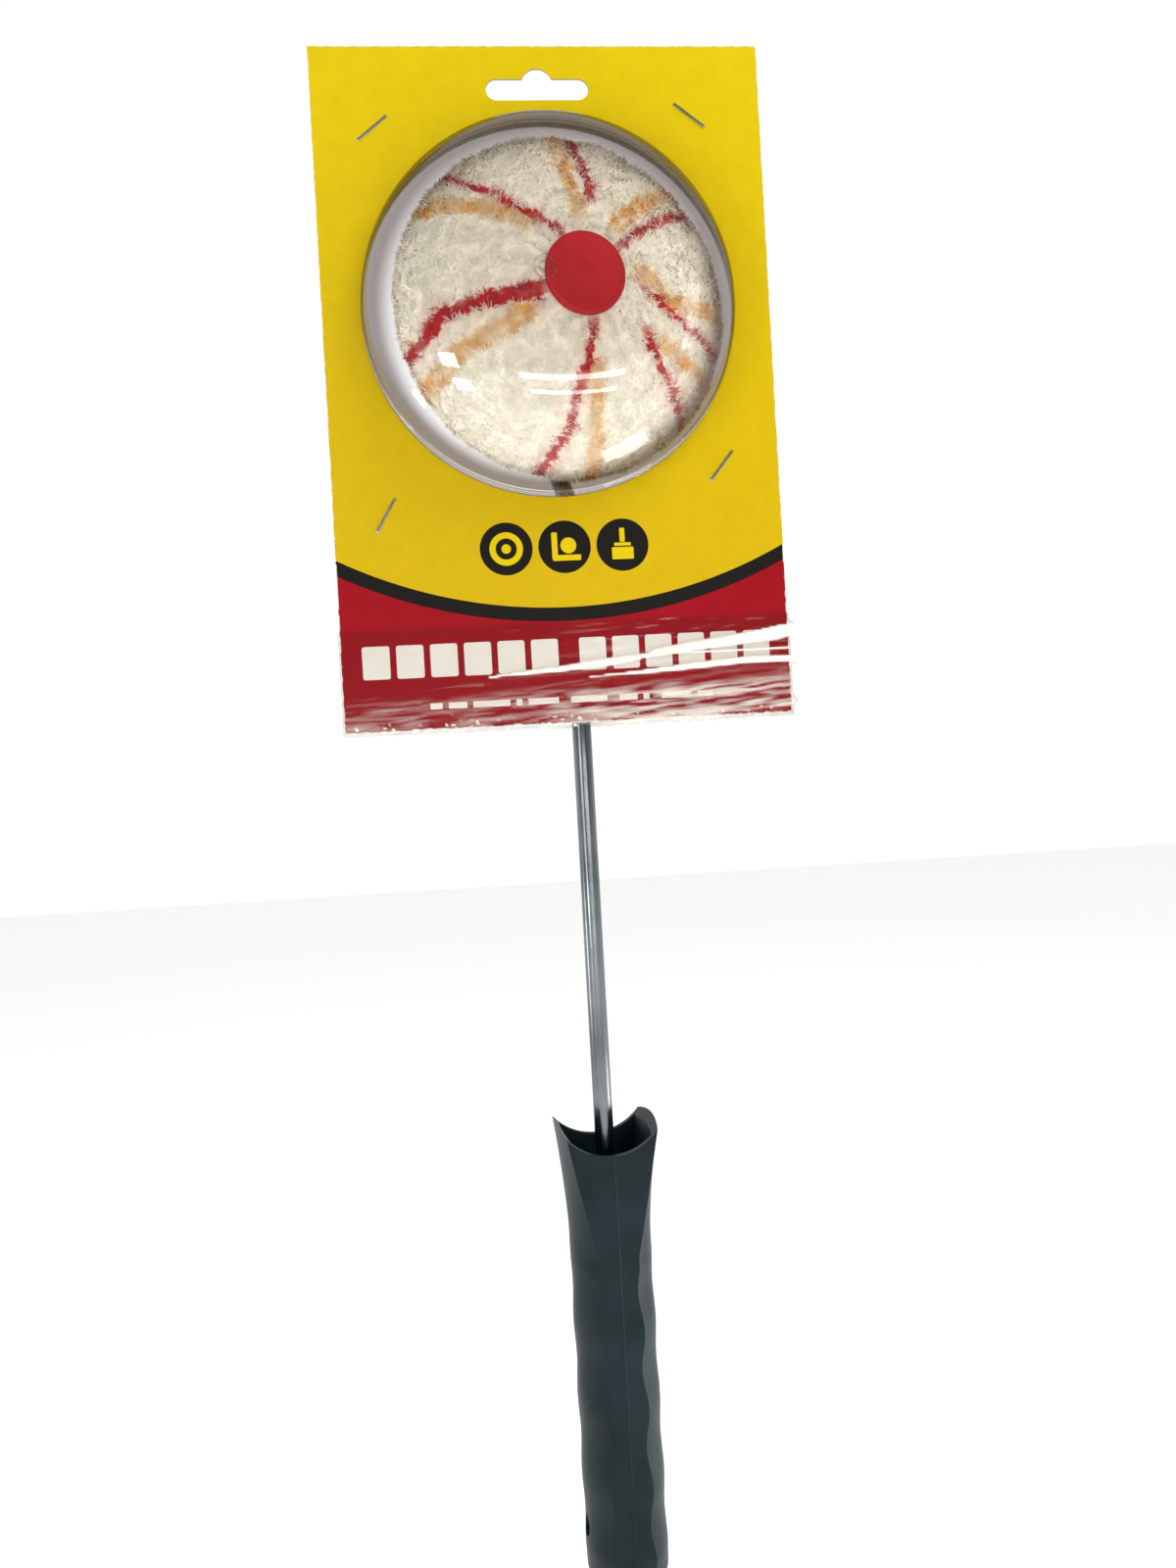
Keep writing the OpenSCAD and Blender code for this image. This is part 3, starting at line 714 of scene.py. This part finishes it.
def makeStaples():
    first = makeStaple()
    staples = []
    for x, z, slope in stapleSpec["places"]:
        copy = first.copy()
        copy.data = first.data.copy()
        bpy.context.scene.collection.objects.link(copy)
        place = Matrix.Translation(Vector((x, 0, z)) * mm) @ Matrix.Rotation(math.radians(-slope), 4, "Y")
        staples.append(applyAll(copy, place))
    bpy.data.objects.remove(first)
    piece = joined(staples, "cornerStaples")
    bpy.ops.object.shade_smooth_by_angle(angle=math.radians(40))
    return piece


stapleSteel = mottledFinish("galvanisedStapleWire", "#d6d8d8", "#a5a8aa", 0.3,
                            {**drawnLook, "stretch": (2400.0, 2400.0, 500.0)}, Metallic=1.0)
finished(makeStaples(), fixedBody, "staple_wire", stapleSteel, "staples")


# clear dome with its bead, its nub and the flange behind the card
domeSpec = {"radius": 57.5, "height": 33.0, "square": 2.5, "steps": 44, "segments": 192, "sheet": 0.3,
            "flangeBack": -0.65, "corner": 7.0, "bead": 0.32,
            "nubAt": (-3.2, -0.4, 0), "nubRings": (1.5, 3.2)}


def roundedReach(angle, halfWide, halfHigh, corner, shift):  # point on a rounded rectangle in a direction
    direction = Vector((math.cos(angle), math.sin(angle)))
    low, high = 0.0, 200.0
    for _ in range(40):
        reach = (low + high) / 2
        x, y = abs(direction.x * reach), abs(direction.y * reach - shift)
        dx, dy = x - (halfWide - corner), y - (halfHigh - corner)
        outside = math.hypot(max(dx, 0), max(dy, 0)) > corner if max(dx, dy) > 0 else False
        low, high = (low, reach) if outside else (reach, high)  # halves the gap each time
    return direction * low


def makeDome():
    d = domeSpec
    power = 2 / d["square"]
    profile = [(0, d["height"])]
    for i in range(1, d["steps"] + 1):
        t = math.pi / 2 * (1 - i / d["steps"])
        profile.append((d["radius"] * math.cos(t) ** power, d["height"] * math.sin(t) ** power))
    wall = [(r, z) for r, z in profile if z > 6.4]
    edge = [(d["radius"] - inward, z) for inward, z in (
        (0.28, 6.0), (0.5, 5.6), (0.5, 5.1), (0.12, 4.7), (0.1, 3.9), (0.42, 3.5), (0.42, 3.0), (0.05, 2.6),
        (0.02, 1.4), (-d["bead"], 1.1), (-d["bead"], 0.75), (0, 0.45), (0, -0.25))]
    foot = [(d["radius"] + 0.15, d["flangeBack"] + 0.12), (d["radius"] + 0.5, d["flangeBack"]),
            (d["radius"] + 2.5, d["flangeBack"])]
    dome = turned("clearDome", wall + edge + foot, d["segments"])
    edit(dome)
    bpy.ops.mesh.select_all(action="DESELECT")
    bpy.ops.object.mode_set(mode="OBJECT")
    for v in dome.data.vertices:
        v.select = math.hypot(v.co.x, v.co.y) > (d["radius"] + 2.4) * mm
    edit(dome, everything=False)
    bpy.ops.mesh.extrude_edges_move(TRANSFORM_OT_translate={"value": (0, 0, 0)})
    bpy.ops.object.mode_set(mode="OBJECT")
    halfWide, halfHigh = (domeHigh.x - domeLow.x) / 2 / mm, (domeHigh.z - domeLow.z) / 2 / mm
    shift = ((domeHigh.z + domeLow.z) / 2 - wheelCentre.z) / mm
    for v in [v for v in dome.data.vertices if v.select]:
        spot = roundedReach(math.atan2(v.co.y, v.co.x), halfWide, halfHigh, d["corner"], shift)
        v.co.x, v.co.y = spot.x * mm, spot.y * mm
    cleanUp(dome, 50)
    addModifier(dome, "SOLIDIFY", thickness=d["sheet"] * mm, offset=-1)
    top = d["height"] - 0.12
    pieces = [dome]
    for r in d["nubRings"]:
        profile = [(r - 0.3, top), (r - 0.28, top + 0.3), (r, top + 0.5), (r + 0.28, top + 0.3), (r + 0.3, top)]
        ring = cleanUp(turned("nubRing", profile + profile[:1], 48), 50)
        pieces.append(applyAll(ring, Matrix.Translation(Vector(d["nubAt"]) * mm)))
    dome = joined(pieces, "clearDome")
    place = Matrix.Translation((0, 0, wheelCentre.z)) @ Matrix.Rotation(math.pi / 2, 4, "X")
    applyAll(dome, place)
    bpy.ops.object.shade_smooth_by_angle(angle=math.radians(35))
    return dome


def clearSheet(name, facing, grazing, roughness, scratchDepth, shine):  # thin and clear: a tinted view under a gloss, darker towards grazing
    material, tree, gloss, place = newMaterial(name)
    ripple = add(tree, "TexNoise", {"Scale": 32.0, "Detail": 2.0}, Vector=place)
    bent = add(tree, "VectorMath", {"operation": "MULTIPLY_ADD", 1: (0.02,) * 3}, i0=ripple.outputs[1],
               i2=place)
    lines = add(tree, "TexVoronoi", {"Scale": 46.0, "feature": "DISTANCE_TO_EDGE"}, Vector=bent)
    scratch = add(tree, "MapRange", {**soft, 1: 0.004, 2: 0.0}, Value=lines)
    height = add(tree, "Math", {"operation": "MULTIPLY_ADD", 1: 0.5}, i0=ripple, i2=scratch)
    bump = add(tree, "Bump", {"Strength": 0.5, "Distance": scratchDepth}, Height=height)
    setShader(gloss, Base_Color=(1, 1, 1, 1), Metallic=1.0, Roughness=roughness, Normal=bump)
    facingAway = add(tree, "LayerWeight", {"Blend": 0.5}, Normal=bump).outputs["Facing"]
    # the view through darkens towards grazing: partly the longer path through the sheet, partly painted shade where
    # the grazing colour is dark
    toGrazing = add(tree, "MapRange", {**soft, 1: 0.2, 2: 0.5}, Value=facingAway)
    tint = add(tree, "Mix", {"data_type": "RGBA", 6: linear(facing), 7: linear(grazing)}, Factor=toGrazing)
    through = add(tree, "BsdfTransparent", Color=tint)
    steep = add(tree, "Math", {"operation": "POWER", 1: 5.0}, i0=facingAway)
    mirror = add(tree, "Math", {"operation": "MULTIPLY_ADD", 1: 0.55, 2: shine}, i0=steep)
    sheet = add(tree, "MixShader", Fac=mirror, i1=through, i2=gloss)
    setShader(tree.nodes["Material Output"], Surface=sheet)
    return material


# grazing colour #c2bcba: partly the longer path through the steep wall, partly painted shade for the shadowed ground
# seen through the rim
domeSheet = clearSheet("thermoformedClearSheet", "#fcfcfc", "#c2bcba", 0.03, 0.00003, 0.035)
finished(makeDome(), fixedBody, "clear_sheet", domeSheet, "blister")


# clear film band shrunk round the card's foot and the wire
filmSpec = {"top": 166.2, "bottom": 198.6, "side": 70.45, "front": -0.5, "rearEdge": 0.62, "tent": 8.3,
            "tentHalf": 4.3, "sheet": 0.04,
            "frontColumns": 320, "rearColumns": 170, "rows": 74, "crimpFrom": 187.0, "flat": (0.2835, 0.0327),
            "tips": [(170.4, 4.0, 1.1), (181.6, 3.2, 0.8), (194.0, 1.6, 1.5)]}
filmCreases = [  # sideways place, depth below the slot and half width along each sharp crease, in mm
    [(-25, 182.2, 0.2), (-4, 180.8, 0.8), (14, 178.9, 1.3), (22, 178.0, 0.9), (25, 177.4, 0.2)],
    [(22, 178.4, 0.2), (27, 177.0, 1.2), (50, 174.2, 1.7), (66, 172.6, 2.0), (76, 170.4, 1.6)],
    [(6, 183.4, 0.1), (22, 182.8, 0.5), (40, 181.4, 0.9), (56, 180.6, 1.0), (76, 180.9, 1.1)],
    [(30, 176.6, 0.1), (52, 173.0, 0.3), (76, 168.8, 0.5)]]


def makeFilm():
    f = filmSpec
    depths = np.linspace(f["top"], f["bottom"], f["rows"])
    frontX = np.linspace(-f["side"], f["side"], f["frontColumns"])
    rearX = np.linspace(f["side"] - 0.05, -f["side"] + 0.05, f["rearColumns"])
    tent = np.interp(rearX, [-f["side"], shaftX / mm - f["tentHalf"], shaftX / mm + f["tentHalf"], f["side"]],
                     [f["rearEdge"], f["tent"], f["tent"], f["rearEdge"]])
    base = np.concatenate([np.full(len(frontX), f["front"]), tent])
    outward = np.concatenate([np.full(len(frontX), -1.0), np.full(len(rearX), 1.0)])
    x, depth = np.meshgrid(np.concatenate([frontX, rearX]), depths)
    y, outward = np.tile(base, (f["rows"], 1)), np.tile(outward, (f["rows"], 1))
    slanted = depth + 0.075 * x  # the creases fan gently upwards to the right

    def noiseOver(*coordinates):
        return np.array([noise.noise(Vector(p)) for p in np.stack(coordinates, -1).reshape(-1, 3)]).reshape(x.shape)

    long = noiseOver(x / 26, slanted / 2.6, outward * 5)
    fine = noiseOver(x / 9, slanted / 0.9, outward * 9)
    spots = noiseOver(x / 1.6, depth / 1.1, outward)
    rightwards = easeStep(-45, 40, x)
    crimp = easeStep(f["crimpFrom"] - 2, f["crimpFrom"] + 4, depth + 0.02 * x)
    lift = 0.12 + 0.22 * (long + 1) * (0.35 + rightwards) + 0.1 * fine * (0.4 + crimp) + 0.12 * crimp * spots
    # white in the film: stress-whitening along the creases and the crimp, plus painted glare that grows towards the
    # right, where the light falls from
    foldWhiteAndGlare = np.clip(crimp * (0.16 + 0.55 * fine + 0.4 * long) * (0.3 + 0.8 * rightwards), 0, 0.45)
    foot = easeStep(f["bottom"] - 4.5, f["bottom"] - 2.5, depth)
    foldWhiteAndGlare = np.maximum(foldWhiteAndGlare, 0.6 * easeStep(0.36, 0.5, spots) * foot)
    foldWhiteAndGlare = np.maximum(foldWhiteAndGlare, 0.06 * rightwards * easeStep(0.3, 0.6, fine))
    for crease in filmCreases:
        line = np.interp(x, [p[0] for p in crease], [p[1] for p in crease])
        half = np.interp(x, [p[0] for p in crease], [p[2] for p in crease], left=0.01)
        away = np.abs(depth + 0.35 * long - line) / half
        lift += 0.5 * np.exp(-away ** 2) * (half > 0.05)
        foldWhiteAndGlare = np.maximum(foldWhiteAndGlare, 0.93 * (1 - easeStep(0.7, 1.15, away)) * (half > 0.05) * (outward < 0))
    y = y + outward * lift
    for at, reach, half in f["tips"]:  # gathered tips that stand out past the card's right edge
        x = x + reach * np.exp(-((depth - at) / half) ** 2) * easeStep(66, f["side"], x)
    z = -depth - 0.4 * easeStep(f["bottom"] - 1.5, f["bottom"], depth) * (spots + 0.4 * long)
    points = np.stack([x, y, z], -1).reshape(-1, 3)
    film = meshFrom("filmBand", points * mm, gridFaces(f["rows"], x.shape[1]))
    giveColours(film, np.repeat(np.clip(foldWhiteAndGlare, 0, 1).reshape(-1, 1), 4, 1))
    edit(film)
    bpy.ops.mesh.normals_make_consistent(inside=False)
    bpy.ops.object.mode_set(mode="OBJECT")
    addModifier(film, "SOLIDIFY", thickness=f["sheet"] * mm, offset=0)
    bpy.ops.object.shade_smooth_by_angle(angle=math.radians(60))
    return film


def creasedFilm():
    material = clearSheet("castPolypropyleneFilm", "#fafafa", "#efece8", 0.1, 0.00002, 0.008)
    tree = material.node_tree
    foldWhiteAndGlare = add(tree, "Attribute", {"attribute_name": "tint"})  # stress-whitened folds and painted glare streaks, stored on the mesh
    white = add(tree, "BsdfPrincipled", {"Base Color": linear("#fff6ea"), "Roughness": 0.35})
    output = tree.nodes["Material Output"]
    clear = output.inputs["Surface"].links[0].from_socket
    setShader(output, Surface=add(tree, "MixShader", Fac=foldWhiteAndGlare.outputs["Fac"], i1=clear, i2=white))
    return material


filmBand = finished(makeFilm(), fixedBody, "clear_film", creasedFilm(), "film_band")


# hang card: coated board printed on the front, bare grey board behind, die-cut edges
# the two yellows are the card's ink with painted light at the top and painted shade at the bottom; the signs use the
# lighter one
printSpec = {"yellowTopLit": "#d8bc06", "yellowLowShaded": "#c9a708", "black": "#1b1814", "red": "#960b17", "white": "#efeadf",
             "board": "#a9a498", "boardDark": "#8f8a7f", "cutEdge": "#d8d2c2",
             "arcCentre": -10.4, "arcRadius": 151.0, "arcBand": 4.3,
             "badges": [-17.6, 0.6, 18.8], "badgeRow": -142.6, "badgeRadius": 8.2,
             "blockStart": -64.6, "blockPitch": 10.4, "wordSpan": 62.2, "wordGap": 4.8, "blockRow": -176.2,
             "blockHalf": (4.2, 5.1), "lineRow": -190.3, "lineHalf": 0.95, "lineFrom": -43.6, "lineTo": 45.1,
             "cell": 1.9, "gapShare": 0.17, "wornEdge": 0.22}


def printedBoard():
    q = printSpec
    material, tree, shader, place = newMaterial("coatedPackagingBoard")  # offset print under a gloss varnish
    inMm = add(tree, "VectorMath", {"operation": "SCALE", "Scale": 1 / mm}, i0=place)
    axes = add(tree, "SeparateXYZ", i0=inMm)

    def boxMask(source, middle, half, corner=0.35):  # 1 inside a rounded box
        for operation, value in (("SUBTRACT", (middle[0], 0, middle[1])), ("ABSOLUTE", (0, 0, 0)),
                                 ("SUBTRACT", (half[0] - corner, 99, half[1] - corner)), ("MAXIMUM", (0, 0, 0))):
            source = add(tree, "VectorMath", {"operation": operation, 1: value}, i0=source)
        size = add(tree, "VectorMath", {"operation": "LENGTH"}, i0=source)
        return add(tree, "Math", {"operation": "LESS_THAN", 1: corner}, i0=size)

    def ringMask(middle, outer, inner=-1.0):  # 1 inside a disc, or between two circles
        away = add(tree, "VectorMath", {"operation": "DISTANCE", 1: (middle[0], 0, middle[1])}, i0=inMm)
        half = add(tree, "Math", {"operation": "SUBTRACT", 1: (outer + inner) / 2}, i0=away)
        size = add(tree, "Math", {"operation": "ABSOLUTE"}, i0=half)
        return add(tree, "Math", {"operation": "LESS_THAN", 1: (outer - inner) / 2}, i0=size)

    # two bands below an arc
    fromArc = add(tree, "VectorMath", {"operation": "DISTANCE", 1: (0, 0, q["arcCentre"])}, i0=inMm)
    bands = [add(tree, "Math", {"operation": "GREATER_THAN", 1: edge}, i0=fromArc)
             for edge in (q["arcRadius"], q["arcRadius"] + q["arcBand"])]

    # three round badges: a wheel, an inside corner and a brush
    row = q["badgeRow"]
    wheelAt, cornerAt, brushAt = q["badges"]
    discs = [ringMask((at, row), q["badgeRadius"]) for at in q["badges"]]
    signs = [ringMask((wheelAt, row), 5.2, 3.3), ringMask((wheelAt, row), 1.5),
             boxMask(inMm, (cornerAt - 3.1, row + 0.4), (0.9, 4.2)),
             boxMask(inMm, (cornerAt + 0.6, row - 3.4), (4.4, 0.9)),
             ringMask((cornerAt + 1.2, row + 0.4), 2.5), boxMask(inMm, (brushAt, row - 2.6), (3.4, 1.9)),
             boxMask(inMm, (brushAt, row + 0.2), (2.6, 0.5), 0.2), boxMask(inMm, (brushAt, row + 3.1), (0.8, 2.2))]

    # two rows of plain blocks where a pack has its wording
    second = add(tree, "Math",
                 {"operation": "GREATER_THAN", 1: q["blockStart"] + q["wordSpan"] + q["wordGap"] / 2}, i0=axes)
    shift = add(tree, "Math", {"operation": "MULTIPLY_ADD", 1: -q["wordSpan"] - q["wordGap"],
                                         2: -q["blockStart"]}, i0=second)
    along = add(tree, "Math", {"operation": "ADD"}, i0=axes, i1=shift)
    inWord = add(tree, "Math", {"operation": "COMPARE", 1: q["wordSpan"] / 2, 2: q["wordSpan"] / 2},
                 i0=along)
    local = add(tree, "Math", {"operation": "MODULO", 1: q["blockPitch"]}, i0=along)
    flat = add(tree, "CombineXYZ", i0=local, i2=axes.outputs[2])
    block = boxMask(flat, (q["blockPitch"] / 2, q["blockRow"]), q["blockHalf"], 0.8)
    blocks = add(tree, "Math", {"operation": "MULTIPLY"}, i0=block, i1=inWord)
    cellRow = add(tree, "Math", {"operation": "SNAP", 1: q["cell"]}, i0=axes)
    chance = add(tree, "TexWhiteNoise", {"noise_dimensions": "1D"}, W=cellRow)
    inked = add(tree, "Math", {"operation": "GREATER_THAN", 1: q["gapShare"]}, i0=chance.outputs["Value"])
    lineBox = boxMask(inMm, ((q["lineFrom"] + q["lineTo"]) / 2, q["lineRow"]),
                      ((q["lineTo"] - q["lineFrom"]) / 2, q["lineHalf"]), 0.2)
    lines = add(tree, "Math", {"operation": "MULTIPLY"}, i0=lineBox, i1=inked)

    # the inks go on one after the other, over a yellow that is lighter at the top and darker towards the bottom:
    # painted light from above, painted shade below
    paintedTopLight = add(tree, "MapRange", {1: -160.0, 2: 10.0}, Value=axes.outputs[2])
    ink = add(tree, "Mix", {"data_type": "RGBA", 6: linear(q["yellowLowShaded"]), 7: linear(q["yellowTopLit"])},
              Factor=paintedTopLight)
    for colour, masks in (("black", bands[:1]), ("red", bands[1:]), ("black", discs), ("yellowTopLit", signs),
                          ("white", [blocks, lines])):
        for mask in masks:
            ink = add(tree, "Mix", {"data_type": "RGBA", 7: linear(q[colour])}, i6=ink, Factor=mask)

    # faint mottle in the ink, and scuffed corners and cut edges
    mottle = add(tree, "TexNoise", {"Scale": 140.0, "Detail": 5.0, "Roughness": 0.65}, Vector=place)
    shade = add(tree, "MapRange", {1: 0.3, 2: 0.7, 3: 0.95, 4: 1.03}, Value=mottle)
    ink = add(tree, "VectorMath", {"operation": "SCALE"}, i0=ink, Scale=shade)
    unworn = [(high - low) / 2 / mm - q["wornEdge"] for low, high in zip(cardLow, cardHigh)]
    rim = boxMask(inMm, (0, ((cardLow.z + cardHigh.z) / 2) / mm), unworn[::2], 0.3)
    scuff = add(tree, "TexNoise", {"Scale": 420.0, "Detail": 3.0}, Vector=place)
    worn = add(tree, "Math", {"operation": "GREATER_THAN", 1: 0.5}, i0=scuff)
    offRim = add(tree, "Math", {"operation": "SUBTRACT", 0: 1.0}, i1=rim)
    edgeWear = add(tree, "Math", {"operation": "MULTIPLY"}, i0=worn, i1=offRim)
    ink = add(tree, "Mix", {"data_type": "RGBA", 7: linear(q["cutEdge"])}, i6=ink, Factor=edgeWear)

    fibres = add(tree, "TexNoise", {"Scale": 700.0, "Detail": 6.0, "Roughness": 0.7}, Vector=place)
    board = add(tree, "Mix", {"data_type": "RGBA", 6: linear(q["boardDark"]), 7: linear(q["board"])},
                Factor=fibres)
    normal = add(tree, "SeparateXYZ", i0=add(tree, "NewGeometry").outputs["Normal"])
    isFront = add(tree, "Math", {"operation": "LESS_THAN", 1: -0.5}, i0=normal.outputs[1])
    dents = add(tree, "TexNoise", {"Scale": 24.0, "Detail": 4.0, "Roughness": 0.45}, Vector=place)
    relief = add(tree, "Math", {"operation": "MULTIPLY_ADD", 1: 0.06}, i0=fibres, i2=dents)
    setShader(shader, Specular_IOR_Level=0.15,
              Base_Color=add(tree, "Mix", {"data_type": "RGBA"}, i6=board, i7=ink, Factor=isFront),
              Roughness=add(tree, "MapRange", {3: 0.85, 4: 0.34}, Value=isFront),
              Normal=add(tree, "Bump", {"Strength": 0.35, "Distance": 0.0006}, Height=relief))
    return material


# materials for the CAD pieces whose shape is kept
plainLook = {"patch": {"Scale": 300.0, "Detail": 5.0, "Roughness": 0.6}, "patchRuns": (0.3, 0.65),
             "grain": {"Scale": 300.0, "Detail": 5.0, "Roughness": 0.6}, "stretch": (1, 1, 1),
             "grainRuns": (0.3, 0.7), "glossier": 0.05, "duller": 0.08,
             "relief": {"Strength": 0.5, "Distance": 0.00004}}


def twistedCord():
    material, tree, shader, place = newMaterial("twistedPolyesterCord")  # three-ply cord, 1.1 mm lay
    plies = add(tree, "TexWave", {"Scale": 140.0, "Distortion": 1.5, "bands_direction": "DIAGONAL"},
                Vector=place).outputs["Fac"]
    colour = add(tree, "Mix", {"data_type": "RGBA", 6: linear("#cfc9b8"), 7: linear("#f3efe3")},
                 Factor=plies)
    setShader(shader, Base_Color=colour, Roughness=0.8,
              Normal=add(tree, "Bump", {"Strength": 0.7, "Distance": 0.0002}, Height=plies))
    return material


def dress(material, *nodes):
    for node in nodes:
        piece = frame["nodes"][node]
        piece.data.materials.clear()
        piece.data.materials.append(material)


dress(printedBoard(), "card")
plainFinishes = [  # name, colour, darker colour, roughness, metallic, nodes
    ("zincPlatedWasherSteel", "#b4b8ba", "#8d9194", 0.3, 1.0, ["thrust_washer"]),
    ("phosphatedSpringSteel", "#6f7376", "#505457", 0.42, 1.0, ["push_nut"]),
    ("mouldedNylonNatural", "#f0ece0", "#e0dac9", 0.42, 0.0, ["front_bush", "rear_bush"]),
    ("mouldedStyreneCream", "#ddd9cc", "#cbc6b6", 0.5, 0.0, ["core_front", "core_rear"]),
    ("extrudedSleevePlastic", "#c8c5bb", "#b4b0a5", 0.55, 0.0, ["hub_sleeve"]),
    ("recycledBlackPolypropylene", "#2d3335", "#1f2426", 0.55, 0.0, ["socket_insert"])]
for name, base, dark, roughness, metallic, nodes in plainFinishes:
    dress(mottledFinish(name, base, dark, roughness, plainLook, Metallic=metallic), *nodes)
dress(twistedCord(), "gather_cord_front", "gather_cord_rear")
print("carried pieces dressed")


# lights: one large soft key, a soft fill, and small panels that glint on the dome
lightSpec = {"key": {"at": (650, -650, 900), "size": (800, 800), "watts": 7.6},
             "fill": {"at": (-620, -1150, 420), "size": (1500, 1500), "watts": 4.6},
             "edge": {"at": (190, -20, -162), "size": (160, 290), "watts": 0.7},
             "worldFront": 0.2, "worldBack": 1.02, "worldTurns": (-0.35, 0.3), "glintAway": 700}
glints = [  # place on the dome (right, up of its middle, mm), panel size in mm, brightness
    {"spot": (-32, -24), "size": (130, 80), "watts": 0.34},
    {"spot": (-28, -31), "size": (130, 70), "watts": 0.3},
    {"spot": (-41, -32), "size": (120, 110), "watts": 0.32},
    {"spot": (-34, -40), "size": (120, 90), "watts": 0.3},
    {"spot": (4, -31), "size": (480, 34), "watts": 0.42},
    {"spot": (4, -35), "size": (420, 26), "watts": 0.28},
    {"spot": (7, -53), "size": (300, 130), "watts": 0.5},
    {"spot": (40, -13), "size": (130, 300), "watts": 0.3}]


def areaLight(name, at, target, size, watts):
    data = bpy.data.lights.new(name, "AREA")
    data.shape = "RECTANGLE"
    data.size, data.size_y = size[0] * mm, size[1] * mm
    data.energy = watts
    light = bpy.data.objects.new(name, data)
    bpy.context.scene.collection.objects.link(light)
    aim = (target - at).to_track_quat("-Z", "Y")
    light.matrix_world = Matrix.Translation(at) @ aim.to_matrix().to_4x4()
    light.visible_camera = False
    return light


def glintLights():
    d = domeSpec
    eye = Vector(stage["camera"]) * mm
    for number, glint in enumerate(glints):
        right, up = glint["spot"]
        r = math.hypot(right, up)
        height = d["height"] * (1 - (r / d["radius"]) ** d["square"]) ** (1 / d["square"])
        spot = Vector((right, -height, up)) * mm + Vector((0, 0, wheelCentre.z))
        slope = (r / d["radius"]) ** (d["square"] - 1) / d["radius"]
        lean = (height / d["height"]) ** (d["square"] - 1) / d["height"]
        normal = Vector((right / r * slope, -lean, up / r * slope)).normalized()
        view = (eye - spot).normalized()
        towards = (2 * normal.dot(view) * normal - view).normalized()
        areaLight(f"glint{number}", spot + towards * lightSpec["glintAway"] * mm, spot, glint["size"], glint["watts"])


for name in ("key", "fill", "edge"):
    light = lightSpec[name]
    target = Vector((0, 0, handleHigh.z if name == "edge" else cardLow.z))
    panel = areaLight(name, target + Vector(light["at"]) * mm, target, light["size"], light["watts"])
    panel.visible_glossy = name == "edge"  # the two big ones leave no shine on the sheet and the print
glintLights()

world = bpy.data.worlds.new("studio")
bpy.context.scene.world = world
world.use_nodes = True
tree = world.node_tree
direction = add(tree, "SeparateXYZ", i0=add(tree, "TexCoord").outputs["Generated"])
strength = add(tree, "MapRange", {**soft, 1: lightSpec["worldTurns"][0], 2: lightSpec["worldTurns"][1],
                                            3: lightSpec["worldFront"], 4: lightSpec["worldBack"]},
               Value=direction.outputs[1])
setShader(tree.nodes["Background"], Strength=strength, Color=(1, 1, 1, 1))
bpy.context.scene.view_settings.view_transform = "Standard"
print("lights and world set")
